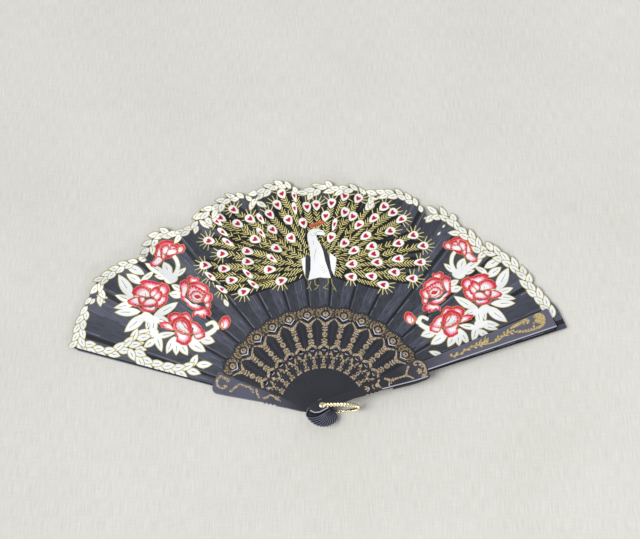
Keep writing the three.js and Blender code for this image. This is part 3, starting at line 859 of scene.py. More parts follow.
@dataclass(frozen=True)
class Petal:
    """One petal: its outline, and how far its pale foot reaches towards the rim."""

    outline: tuple[Point, ...]
    pale_share: float
    ruffle: float = 0.28
    line_width: float = 0.5
    foot_share: float = 0.24
    wave: float = 0.09
    # Each paler tone's reach from the foot: for no pale share, and what the pale share adds
    tones: tuple[tuple[Ink, float, float], ...] = (
        (Ink.ROSE, 0.62, 0.34), (Ink.BLUSH, 0.4, 0.56), (Ink.WHITE, 0.16, 0.66))

    def lay(self, sheet: PrintSheet, place: Callable[[Point], Point], heart: Point) -> None:
        """Print the petal: amber line, red rim, and ever paler tones towards the rose's heart."""
        smooth = curve_through([*self.outline, self.outline[0]], 3)[:-1]
        middle = middle_of(smooth)
        shape = []
        for k, point in enumerate(smooth):
            ruffle = self.ruffle * math.sin(1.9 * k) / max(2.0, math.dist(middle, point))
            shape.append(step_towards(middle, point, 1 + ruffle))
        foot = step_towards(min(shape, key=lambda p: math.dist(p, heart)), middle, self.foot_share)
        ring = [step_towards(middle, p, 1 + self.line_width / max(1.0, math.dist(middle, p))) for p in shape]
        sheet.lay_placed(Ink.AMBER, ring, place)
        sheet.lay_placed(Ink.RED, shape, place)
        if self.pale_share <= 0:
            return
        waves = [1 + self.wave * (-1) ** k for k in range(len(smooth))]
        for ink, least, more in self.tones:
            reach = least + more * self.pale_share
            tone = [step_towards(foot, p, reach * w) for p, w in zip(smooth, waves)]
            sheet.lay_placed(ink, tone, place)


@dataclass(frozen=True)
class Rose:
    """A full rose, its petals laid from the back to the front, with thin grey folds."""

    heart: Point
    petals: tuple[Petal, ...]
    folds: tuple[tuple[Point, ...], ...]
    fold_width: Point = (0.5, 0.25)

    def lay(self, sheet: PrintSheet, place: Callable[[Point], Point]) -> None:
        """Print the rose through a placing function."""
        for petal in self.petals:
            petal.lay(sheet, place, self.heart)
        for fold in self.folds:
            sheet.lay_placed(Ink.VEIN, stroke(list(fold), *self.fold_width), place)


# Drawn: the open rose on the outer side of the spray
OUTER_ROSE = Rose((-147.5, 101.0), (
    Petal(((-158, 114.5), (-155.5, 116.5), (-149, 116), (-143, 114.2), (-138, 114), (-139.5, 109),
           (-145, 107), (-151, 110), (-155, 112)), 0.4),
    Petal(((-139, 113.5), (-135, 112.5), (-131.8, 108.5), (-132.2, 104.5), (-135, 102), (-138, 102),
           (-140, 107), (-140.5, 111)), 0.4),
    Petal(((-138, 102), (-133, 101.5), (-133.5, 97), (-137, 92.5), (-140, 91), (-141.5, 94),
           (-140.5, 98)), 0.5),
    Petal(((-163.5, 107), (-161, 110), (-157, 111.5), (-153, 110.5), (-149, 107), (-147.5, 102),
           (-151, 100.5), (-157.5, 102), (-162, 102.5), (-163.6, 104.5)), 0.55),
    Petal(((-146.5, 108.5), (-143, 110.5), (-140.5, 109), (-140.5, 105.5), (-143, 102), (-146, 101),
           (-148.5, 103), (-148.5, 106.5)), 0.35),
    Petal(((-145, 101.5), (-140, 106), (-137.5, 104), (-138, 100.5), (-140.5, 97), (-143, 98)),
          0.45),
    Petal(((-167, 96), (-163, 99.5), (-158, 100.5), (-155, 98), (-155.5, 93), (-157.5, 91.5), (-162, 92.5),
           (-165.5, 94)), 0.66),
    Petal(((-158, 100.5), (-153.5, 100.5), (-152.5, 97), (-155, 93.5), (-157.5, 96)), 0.4),
    Petal(((-154.5, 92.5), (-152.5, 96.5), (-148.5, 99), (-144, 98.5), (-141, 96.5), (-142, 93.5),
           (-146, 92), (-150, 91), (-153, 91.5)), 0.6),
    Petal(((-157, 91), (-152.5, 90), (-147.5, 90), (-142.2, 92), (-142.5, 88.5), (-144.5, 86.5),
           (-149, 86.5), (-153.5, 87.5)), 0.5)),
    (((-152.5, 104.5), (-151.5, 100.5)), ((-156.5, 92), (-155, 93.5)), ((-150, 91.3), (-145, 91.8)),
     ((-148.5, 109.5), (-147.6, 108.2))))

# The rose that leans over on the inner side of the spray, with a loose petal below it
INNER_ROSE = Rose((-107.0, 101.0), (
    Petal(((-110.5, 85), (-108.5, 87.5), (-103.5, 87.5), (-99, 89), (-96, 88.5), (-94.5, 84), (-96.5, 82.5),
           (-99, 84.5), (-99.5, 81), (-103, 82.5), (-106.5, 84), (-109.5, 82)), 0.45),
    Petal(((-123, 113.5), (-120, 116.5), (-117, 116), (-115.5, 113), (-116, 107), (-118, 101),
           (-120, 99.5), (-121.5, 103), (-122, 108)), 0.5),
    Petal(((-117, 119), (-114.5, 121), (-111, 119), (-108, 119.5), (-107, 116.5), (-110, 114.5),
           (-114.5, 114.5), (-116.5, 116.5)), 0.3),
    Petal(((-114, 114), (-110, 115.5), (-105.5, 114.5), (-102, 112), (-99, 110.5), (-97.5, 107),
           (-98.5, 103.5), (-102, 105.5), (-107, 108), (-111, 109.5), (-113.5, 110.5)), 0.35),
    Petal(((-100, 105.5), (-96, 104), (-94, 101.5), (-95, 97), (-97, 94), (-100, 94), (-101.5, 98.5),
           (-100.5, 102)), 0.4),
    Petal(((-122, 102), (-118, 100.5), (-114.5, 97), (-111, 94), (-107, 92), (-101.5, 91.5), (-100.5, 89.5),
           (-104, 88), (-110, 89.5), (-114.5, 92.5), (-116, 95.5), (-120, 98)), 0.5),
    Petal(((-115, 109.5), (-112, 112), (-107, 110), (-103, 107.5), (-100, 105), (-100.5, 100), (-103, 96),
           (-108, 95), (-112.5, 97.5), (-115, 102)), 0.78),
    Petal(((-111.5, 105.5), (-108, 106.5), (-103.5, 104), (-101.5, 101), (-104, 97.5), (-108.5, 97),
           (-112, 99.5), (-113, 102.5)), 0.8),
    Petal(((-109.5, 101.5), (-107, 102.5), (-104, 100.5), (-105.5, 99), (-108.5, 99.5)), 0.0),
    Petal(((-99.5, 94), (-96, 95), (-95, 92), (-96.5, 89.5), (-99, 91)), 0.5)),
    (((-111.5, 105), (-108.5, 101.5)), ((-102, 101), (-104.5, 99)), ((-112.8, 98), (-108.5, 95.4)),
     ((-114.5, 108.5), (-112.6, 110.6))))

# The lowest rose, with one pointed petal towards the outer side
LOW_ROSE = Rose((-117.0, 72.5), (
    Petal(((-131, 83.5), (-127.5, 86), (-123.5, 86.5), (-121, 84.5), (-122, 82), (-125.5, 79), (-127.5, 77),
           (-130, 78), (-131, 81)), 0.3),
    Petal(((-121, 85), (-117, 86.5), (-114, 85), (-112, 82), (-110.5, 79.5), (-114, 79), (-118, 82),
           (-121.5, 83)), 0.35),
    Petal(((-138.5, 77), (-135, 77.5), (-130.5, 77), (-128, 75), (-125.5, 73), (-125, 70.5), (-128.5, 70.5),
           (-132, 72), (-135.5, 73)), 0.5),
    Petal(((-111, 78.5), (-107.5, 77.5), (-104, 75), (-102, 72), (-99, 69), (-99.5, 66), (-102.5, 64),
           (-107, 63.5), (-108.5, 67), (-107.5, 70.5), (-110.5, 73.5)), 0.42),
    Petal(((-107.5, 65.5), (-100.5, 68), (-98.5, 65.5), (-100.5, 63), (-105.5, 62)), 0.6),
    Petal(((-128, 74), (-127, 78.5), (-123.5, 82), (-119, 83), (-115, 81), (-111.5, 77), (-110.5, 72),
           (-109.5, 67.5), (-112.5, 65), (-117.5, 66.5), (-122.5, 69), (-125.5, 71)), 0.5),
    Petal(((-125, 77), (-122.5, 79), (-119.5, 78.5), (-117.5, 74.5), (-115, 71), (-112, 68), (-111, 66),
           (-115.5, 66.5), (-120.5, 69), (-124, 71.5)), 0.8),
    Petal(((-119.5, 80.5), (-116, 78.5), (-113.5, 74.5), (-111.5, 70.5), (-114, 71.5), (-117, 75),
           (-119.5, 78)), 0.25),
    Petal(((-124.5, 69.5), (-121, 67.5), (-116, 65.5), (-111, 64.5), (-110, 62.5), (-111.5, 59.5),
           (-114.5, 57), (-118.5, 58), (-122.5, 60.5), (-122.5, 64.5), (-124, 67)), 0.5)),
    (((-121.5, 73), (-119.5, 70.5), (-115.5, 69.5), (-114, 67)), ((-119.6, 79), (-118.4, 74.5)),
     ((-124, 70.4), (-118, 67), (-112, 65.2))))

# The half-open rose above the spray, and the bud beside it
TOP_ROSE = Rose((-134.5, 143.0), (
    Petal(((-147.5, 144.5), (-146.7, 149.5), (-144, 153.5), (-139.5, 155), (-134.5, 154.8), (-130, 153.2),
           (-126, 150.8), (-127, 147), (-132, 148), (-136, 151), (-141, 150), (-143, 145), (-144, 140),
           (-146.5, 139.5)), 0.2),
    Petal(((-145.5, 139.5), (-145, 145), (-143, 150), (-141, 150), (-142, 145), (-141.5, 140),
           (-144, 137.5)), 0.85),
    Petal(((-142, 149.5), (-138, 151.5), (-135, 150), (-136, 145), (-139, 141), (-142, 143)), 0.5),
    Petal(((-127, 142), (-126, 148.5), (-123.5, 150.5), (-120.8, 148.5), (-120.8, 145), (-123, 142.8)),
          0.5),
    Petal(((-133, 151), (-129, 150), (-127, 147.5), (-129, 145.5), (-133.5, 147)), 0.3),
    Petal(((-137, 142), (-136, 146), (-132, 147), (-127, 146), (-127.5, 142), (-132, 141)), 0.8),
    Petal(((-137, 140.5), (-132, 141.5), (-127.5, 142), (-130, 140.5), (-134, 138), (-136.5, 137.5)),
          0.0),
    Petal(((-142, 142), (-139, 142), (-138, 138.5), (-138.5, 135.5), (-140.5, 136), (-141.5, 139.5)),
          0.3),
    Petal(((-150, 132), (-147.5, 135), (-145, 139.5), (-141, 138), (-140, 134.5), (-143, 130.5),
           (-145.5, 128.5), (-149, 129.5)), 0.72)),
    (((-136, 150.5), (-135, 146), (-137, 145), (-136.5, 139.5)), ((-143, 147), (-142, 143))))
BUD = Rose((-83.0, 73.0), (
    Petal(((-87.5, 75), (-85.5, 80), (-81.5, 83), (-78.2, 80.5), (-78, 75.5), (-80.5, 71.8), (-84.5, 71.2)),
          0.4),
    Petal(((-86.5, 75), (-84.8, 79.5), (-83.4, 76), (-84, 72)), 0.5)), ())


@dataclass(frozen=True)
class RoseSpray:
    """A spray of roses and pale leaves; the other side of the fan has its mirror image."""

    roses: tuple[Rose, ...] = (TOP_ROSE, BUD, OUTER_ROSE, INNER_ROSE, LOW_ROSE)
    leaves: tuple[tuple[Point, Point, float], ...] = (
        ((-154.5, 122.0), (-172.2, 131.6), 7.2), ((-156.0, 113.5), (-170.6, 123.0), 6.8),
        ((-157.5, 115.5), (-146.2, 124.6), 5.0), ((-162.5, 99.0), (-177.4, 122.4), 9.6),
        ((-160.0, 96.0), (-177.8, 101.6), 6.2), ((-160.0, 94.5), (-178.4, 91.0), 6.0),
        ((-155.0, 87.0), (-177.4, 86.8), 7.6), ((-150.0, 85.0), (-167.6, 69.2), 9.4),
        ((-147.5, 82.0), (-148.8, 71.0), 4.0), ((-143.6, 66.0), (-142.8, 81.4), 7.0),
        ((-144.0, 81.5), (-123.6, 95.8), 8.0), ((-145.0, 82.0), (-129.0, 77.0), 7.6),
        ((-142.5, 69.5), (-160.4, 66.6), 6.6), ((-144.0, 67.0), (-158.4, 62.6), 5.0),
        ((-140.0, 63.0), (-150.0, 55.4), 6.4), ((-141.5, 70.0), (-134.6, 51.4), 6.6),
        ((-142.5, 64.5), (-124.0, 67.8), 5.4), ((-124.5, 65.0), (-130.4, 49.8), 6.6),
        ((-122.5, 62.5), (-122.2, 48.4), 6.6), ((-121.0, 61.0), (-112.4, 48.2), 7.0),
        ((-113.5, 60.5), (-97.6, 51.2), 8.2), ((-104.0, 63.0), (-90.2, 59.8), 8.4),
        ((-133.0, 119.5), (-154.4, 131.8), 6.8), ((-134.0, 117.5), (-145.6, 120.6), 4.4),
        ((-131.2, 120.5), (-138.6, 134.0), 8.2), ((-128.5, 119.5), (-118.8, 128.4), 5.4),
        ((-120.0, 106.5), (-129.8, 111.4), 5.4), ((-119.5, 101.5), (-132.0, 104.0), 6.8))
    # Where leaves grow together: middle, length, width and slope in degrees
    joins: tuple[tuple[Point, float, float, float], ...] = (
        ((-148.0, 81.0), 14.0, 8.0, -40.0), ((-142.8, 68.0), 9.0, 8.0, 0.0),
        ((-131.0, 118.0), 12.0, 11.0, 0.0), ((-119.0, 61.0), 16.0, 7.0, -8.0),
        ((-105.0, 63.0), 10.0, 8.0, 20.0), ((-160.0, 97.0), 8.0, 10.0, 0.0))
    stalks: tuple[tuple[tuple[Point, ...], float, float], ...] = (
        (((-130.6, 140.4), (-127.2, 135.6), (-125.8, 128.6), (-128.0, 121.0)), 3.0, 3.8),
        (((-102.0, 64.0), (-94.0, 68.0), (-89.8, 72.6), (-92.6, 77.2), (-98.4, 74.6)), 5.0, 2.6),
        (((-91.0, 72.0), (-87.0, 72.6)), 3.4, 3.0))
    rim: float = 0.5
    mirror_angle: float = 183.5
    mirror_scale: float = 0.972

    def lay(self, sheet: PrintSheet) -> None:
        """Print both sprays."""
        for place in (self._as_drawn, self._mirrored):
            self._greenery(sheet, place)
            for rose in self.roses:
                rose.lay(sheet, place)

    def _greenery(self, sheet: PrintSheet, place: Callable[[Point], Point]) -> None:
        """Print the leaves so that they run into each other: all rims, then all whites."""
        for grown, ink in ((self.rim, Ink.RIM), (0.0, Ink.CREAM), (-self.rim, Ink.WHITE)):
            for base, tip, width in self.leaves:
                angle = angle_of(base, tip)
                start, end = offset(base, angle, -grown), offset(tip, angle, 1.5 * grown)
                sheet.lay_placed(ink, pointed_oval(start, end, width + 2 * grown, 0.48, 8), place)
            for middle, length, width, slope in self.joins:
                shape = oval(middle, length + 2 * grown, width + 2 * grown, math.radians(slope))
                sheet.lay_placed(ink, shape, place)
            for line, start, end in self.stalks:
                sheet.lay_placed(ink, curved_stroke(line, 4, start + 2 * grown, end + 2 * grown), place)
        for base, tip, _ in self.leaves:
            vein = stroke([step_towards(base, tip, 0.42), step_towards(base, tip, 0.78)], 0.6, 0.3)
            sheet.lay_placed(Ink.VEIN, vein, place)

    @staticmethod
    def _as_drawn(point: Point) -> Point:
        """Return the point itself."""
        return point

    def _mirrored(self, point: Point) -> Point:
        """Return the matching point on the other side of the fan."""
        angle = math.radians(self.mirror_angle) - math.atan2(point[1], point[0])
        radius = self.mirror_scale * math.hypot(*point)
        return radius * math.cos(angle), radius * math.sin(angle)


@dataclass(frozen=True)
class TailEye:
    """The eye of one tail feather."""

    centre: Point
    width: float = 7.2
    length: float = 10.6


def eyes_of(places: Iterable[Point], narrow: Iterable[Point]) -> tuple[TailEye, ...]:
    """Return tail eyes: full ones that lie flat, and narrow ones on the steep side of a pleat."""
    return (*(TailEye(p) for p in places), *(TailEye(p, 3.8, 12.8) for p in narrow))


@dataclass(frozen=True)
class Peacock:
    """A white peacock with its tail spread: eyes, barbs, body, crest and legs."""

    root: Point = (-3.0, 126.0)
    barb_length: float = 4.9
    barb_width: float = 0.95
    barb_step: float = 2.6
    barb_angle: float = 40.0
    barb_clearance: float = 1.3
    # Side of the squares in which barbs are looked up
    barb_cell: int = 2
    # How far from the root the barbs end, and how much they differ in length and angle
    barb_free: float = 16.0
    barb_play: float = 0.5
    angle_play: float = 6.0
    # Shares of a barb's length at which its distance from others is looked up
    barb_checks: tuple[float, ...] = (0.1, 0.32, 0.54, 0.76, 0.97)
    barb_tip: float = 0.6
    barb_gap: float = 0.5
    ray_gap: float = 0.2
    seed: int = 11
    # The black ground's width at an eye and near the root
    shade_width: Point = (12.0, 7.0)
    shade_reach: tuple[float, ...] = (0.0, 0.4, 0.84)
    stem_width: Point = (0.6, 0.5)
    # How far from the root the stems stop, and every fourth one, at most by this share of the way
    stem_stop: float = 40.0
    long_stem_stop: float = 24.0
    most_stop: float = 0.8
    eye_rim: float = 0.8
    ray_length: float = 5.2
    ray_play: Point = (-0.5, 0.8)
    rays: int = 9
    ray_turn: float = 26.0
    narrow_turn: float = 0.45
    # The red heart in each eye and the wine-coloured one in it, each with its size
    hearts: tuple[tuple[Ink, float], ...] = ((Ink.RED, 1.16), (Ink.WINE, 0.6))
    heart_long: float = 0.165
    heart_wide: float = 2.1
    heart_shift: float = 0.3
    heart_steps: int = 12
    # Placed in fans about the root, from the outer feathers inwards
    eyes: tuple[TailEye, ...] = eyes_of(
        ((-78.9, 186.1), (-90.0, 176.1), (-74.6, 171.7), (-63.6, 176.1), (-46.1, 180.4), (-39.6, 191.3),
         (-35.7, 202.4), (-12.9, 187.9), (-4.3, 190.7), (9.3, 192.1), (-29.3, 175.0), (-16.1, 171.0),
         (3.9, 179.0), (21.1, 198.9), (33.6, 197.9), (43.6, 189.3), (56.4, 187.9), (64.3, 183.1),
         (71.9, 176.4), (21.1, 182.4), (28.3, 179.0), (47.1, 176.4), (33.6, 170.3), (61.4, 164.3),
         (81.4, 159.0), (90.0, 149.7), (68.1, 151.4), (39.3, 158.6), (44.3, 147.9), (20.3, 151.4),
         (8.6, 157.1), (28.6, 144.3), (46.0, 140.7), (67.1, 135.7), (86.4, 133.1), (48.6, 132.9),
         (26.4, 131.0), (63.3, 122.9), (78.6, 117.1), (43.3, 119.3), (25.7, 118.6), (53.3, 110.7),
         (-99.7, 155.0), (-43.3, 165.0), (-58.6, 155.7), (-26.7, 156.9), (-39.3, 146.1), (-65.0, 143.9),
         (-87.1, 141.7), (-101.4, 130.0), (-64.3, 133.6), (-85.0, 127.4), (-45.0, 126.1), (-77.9, 116.4),
         (-34.6, 115.0), (-66.9, 105.3)),
        ((-93.1, 172.9), (-54.3, 175.7), (-24.3, 199.3), (-24.0, 186.7), (11.7, 170.0), (-87.6, 162.4),
         (-82.9, 152.6), (-53.6, 162.1), (-43.3, 136.4), (-97.1, 120.0), (-64.3, 122.1), (-59.3, 112.1),
         (-86.4, 107.6)))
    body: tuple[Point, ...] = (
        (-12.4, 159.6), (-10.8, 163.8), (-7.0, 166.2), (-2.6, 166.4), (1.6, 164.4), (3.6, 161.2),
        (2.6, 159.6), (-1.0, 160.2), (-4.2, 159.8), (-4.0, 156.6), (-0.6, 150.6), (1.6, 143.6), (3.4, 134.0),
        (6.2, 125.0), (8.2, 117.4), (3.0, 117.6), (-1.1, 118.4), (-6.2, 117.0), (-11.4, 115.2),
        (-9.4, 125.6), (-9.4, 136.0), (-10.6, 148.6), (-12.2, 154.0))
    wings: tuple[tuple[Point, ...], ...] = (
        ((-17.5, 136.2), (-12.4, 138.2), (-13.2, 131.0), (-13.4, 122.0), (-13.9, 118.6), (-16.2, 127.0)),
        ((7.4, 142.2), (10.4, 139.0), (13.3, 136.4), (12.6, 129.0), (11.1, 119.2), (8.8, 125.2),
         (7.4, 134.0)))
    # Bare cloth between the body and each wing
    wing_gaps: tuple[tuple[Point, ...], ...] = (
        ((-14.0, 138.4), (-10.4, 139.8), (-9.4, 118.0), (-12.0, 114.6), (-14.0, 119.0)),
        ((0.4, 151.6), (2.2, 149.2), (5.0, 144.0), (7.4, 136.0), (8.8, 124.4), (9.2, 119.6), (6.2, 118.0),
         (2.6, 134.0)))
    wing_lines: tuple[tuple[Point, ...], ...] = (
        ((-11.2, 114.6), (-14.2, 118.8), (-16.6, 127.0)),
        ((3.4, 161.4), (2.4, 154.0), (5.2, 146.0), (7.4, 141.0)))
    plumage_lines: tuple[tuple[Point, ...], ...] = (
        ((-7.0, 154.0), (-6.6, 149.0)), ((-4.6, 146.4), (-6.2, 138.0), (-5.6, 134.4)),
        ((0.2, 127.0), (3.2, 129.6)), ((0.8, 124.6), (4.2, 127.2)), ((1.6, 122.6), (5.4, 125.0)))
    wing_line_width: float = 0.4
    plumage_width: Point = (0.35, 0.15)
    # The body's rim is the body itself, grown about this point
    body_middle: Point = (-3.6, 138.0)
    body_rim: float = 1.018
    head_line: tuple[Point, ...] = ((-5.4, 159.8), (-3.4, 163.6), (0.6, 163.4), (3.2, 161.2))
    neck_line: tuple[Point, ...] = ((-9.8, 160.4), (-6.8, 159.0), (-4.6, 160.6))
    head_line_width: float = 0.4
    neck_line_width: float = 0.3
    # The dark patch from the eye to the beak
    face: tuple[Point, Point] = ((-4.4, 160.0), (1.4, 156.2))
    face_width: float = 3.2
    pupil: Point = (-6.4, 161.9)
    pupil_size: Point = (1.2, 0.8)
    beak: tuple[Point, ...] = ((-2.0, 158.0), (0.4, 158.2), (1.2, 156.0))
    beak_width: Point = (0.7, 0.4)
    crest: tuple[Point, ...] = ((-10.6, 168.0), (-6.4, 170.6), (-1.6, 172.4), (2.8, 173.4))
    crest_width: Point = (3.0, 3.4)
    # The crest's stems start on this line on the head: from, to and height
    crest_foot: tuple[float, float, float] = (-5.6, -2.6, 165.8)
    crest_feet: int = 7
    crest_stem_width: float = 0.45
    # Notches across the crest: directions of both ends, their reach and width
    notch_turns: Point = (-68.0, 112.0)
    notch_reach: Point = (0.2, 1.5)
    notch_width: Point = (0.35, 0.2)
    leg_width: Point = (0.75, 0.6)
    leg_lines: tuple[tuple[Point, ...], ...] = (
        ((-5.6, 116.6), (-5.2, 111.2), (-1.6, 110.4)), ((-5.2, 111.2), (-2.8, 109.2), (-6.2, 106.2)),
        ((5.6, 117.6), (5.8, 112.0), (1.4, 107.8)), ((1.6, 108.4), (6.0, 106.4)),
        ((-9.2, 114.4), (-10.4, 109.4), (-12.6, 107.2)), ((-10.4, 109.6), (-8.6, 105.2)),
        ((8.8, 116.6), (9.4, 111.4), (11.6, 107.6), (12.8, 104.4)), ((11.6, 107.8), (10.4, 106.2)))

    def lay(self, sheet: PrintSheet) -> None:
        """Print the whole bird."""
        self._barbs(sheet)
        for eye in self.eyes:
            self._eye(sheet, eye)
        self._bird(sheet)

    def _barbs(self, sheet: PrintSheet) -> None:
        """Print the tail's black ground, its stems and its barbs, no barb too close to another."""
        cells: dict[tuple[int, int], list[Point]] = {}
        rng = random.Random(self.seed)

        def cell_of(point: Point) -> tuple[int, int]:
            return int(point[0] // self.barb_cell), int(point[1] // self.barb_cell)

        def crowded(point: Point) -> bool:
            column, row = cell_of(point)
            near = [q for i in (-1, 0, 1) for j in (-1, 0, 1) for q in cells.get((column + i, row + j), ())]
            return (any(math.dist(point, q) < self.barb_clearance for q in near)
                    or any(math.dist(point, eye.centre) < 0.5 * eye.width for eye in self.eyes))

        def barb(start: Point, angle: float, length: float) -> None:
            points = [offset(start, angle, length * share) for share in self.barb_checks]
            if any(crowded(p) for p in points[1:]):
                return
            for point in points:
                cells.setdefault(cell_of(point), []).append(point)
            end = offset(start, angle, length)
            sheet.lay(Ink.GOLD, stroke([start, end], self.barb_width, self.barb_tip * self.barb_width))

        for eye in self.eyes:
            shade = [step_towards(eye.centre, self.root, t) for t in self.shade_reach]
            sheet.lay(Ink.GROUND, stroke(shade, *self.shade_width))
        for k, eye in enumerate(self.eyes):
            far = math.dist(self.root, eye.centre)
            stop = self.stem_stop if k % 4 else self.long_stem_stop
            end = step_towards(eye.centre, self.root, 1 - min(self.most_stop, stop / far))
            sheet.lay(Ink.BRONZE, stroke([eye.centre, end], *self.stem_width))
        for eye in self.eyes:
            far = math.dist(self.root, eye.centre)
            inwards = angle_of(eye.centre, self.root)
            steps = int((far - self.barb_free) / self.barb_step)
            for k in range(steps):
                start = offset(eye.centre, inwards, 0.5 * eye.length + self.barb_gap + self.barb_step * k)
                for side in (1, -1):
                    lean = self.barb_angle + rng.uniform(-self.angle_play, self.angle_play)
                    length = self.barb_length + rng.uniform(-self.barb_play, self.barb_play)
                    barb(start, inwards + math.pi + side * math.radians(lean), length)
        for eye in self.eyes:
            outwards = self._slope(eye)
            for k in range(self.rays):
                angle = outwards + math.radians(self.ray_turn * (k - (self.rays - 1) / 2))
                reach = 0.5 * between(eye.width, eye.length, abs(math.cos(angle - outwards)))
                length = self.ray_length + rng.uniform(*self.ray_play)
                barb(offset(eye.centre, angle, reach + self.ray_gap), angle, length)

    def _slope(self, eye: TailEye) -> float:
        """Return the direction of an eye's blunt end; a narrow one is squeezed towards its fold."""
        outwards = angle_of(self.root, eye.centre)
        if eye.width == TailEye.width:
            return outwards
        return between(outwards, math.atan2(eye.centre[1], eye.centre[0]), self.narrow_turn)

    def _eye(self, sheet: PrintSheet, eye: TailEye) -> None:
        """Print one eye: white drop, olive rim and a red heart."""
        outwards = self._slope(eye)
        sheet.lay(Ink.RIM, egg(eye.centre, eye.length + self.eye_rim, eye.width + self.eye_rim, outwards))
        sheet.lay(Ink.WHITE, egg(eye.centre, eye.length, eye.width, outwards))
        share = eye.width / TailEye.width
        for ink, size in self.hearts:
            heart = []
            for k in range(self.heart_steps):
                turn = 2 * math.pi * k / self.heart_steps
                # The usual heart curve: three cosines along it, and a sine to the third power across
                along = self.heart_long * (
                    13 * math.cos(turn) - 5 * math.cos(2 * turn) - 2 * math.cos(3 * turn))
                middle = offset(eye.centre, outwards, self.heart_shift + size * along)
                across = self.heart_wide * size * share * math.sin(turn) ** 3
                heart.append(offset(middle, outwards + math.pi / 2, across))
            sheet.lay(ink, heart)

    def _bird(self, sheet: PrintSheet) -> None:
        """Print the body, wings, crest, beak and legs."""
        for line in self.leg_lines:
            sheet.lay(Ink.RIM, curved_stroke(line, 3, *self.leg_width))
        for ink, shapes in ((Ink.WHITE, self.wings), (Ink.CLOTH, self.wing_gaps)):
            for shape in shapes:
                sheet.lay(ink, list(shape))
        for line in self.wing_lines:
            sheet.lay(Ink.RIM, curved_stroke(line, 4, self.wing_line_width))
        sheet.lay(Ink.RIM, [step_towards(self.body_middle, p, self.body_rim) for p in self.body])
        sheet.lay(Ink.WHITE, list(self.body))
        sheet.lay(Ink.GROUND, pointed_oval(*self.face, self.face_width))
        sheet.lay(Ink.GOLD, curved_stroke(self.beak, 3, *self.beak_width))
        sheet.lay(Ink.VEIN, curved_stroke(self.head_line, 3, self.head_line_width))
        sheet.lay(Ink.VEIN, curved_stroke(self.neck_line, 3, self.neck_line_width))
        sheet.lay(Ink.RED, oval(self.pupil, *self.pupil_size, 1.0, 7))
        for line in self.plumage_lines:
            sheet.lay(Ink.VEIN, stroke(list(line), *self.plumage_width))
        crest = curve_through(list(self.crest), 4)
        left, right, height = self.crest_foot
        for k, point in enumerate(crest[:-1:2]):
            foot = between(left, right, k / self.crest_feet), height
            sheet.lay(Ink.GOLD, stroke([foot, point], self.crest_stem_width))
        sheet.lay(Ink.CORAL, stroke(crest, *self.crest_width))
        for point in crest[1:-1]:
            notch = [offset(point, math.radians(turn), reach)
                     for turn, reach in zip(self.notch_turns, self.notch_reach)]
            sheet.lay(Ink.AMBER, stroke(notch, *self.notch_width))


@dataclass(frozen=True)
class Lobe:
    """One lobe of the edge garland, which grows counter-clockwise and hangs down at its notch."""

    start: float
    end: float
    tail: tuple[Point, ...]
    head: tuple[Point, ...] = ()
    size: float = 1.0


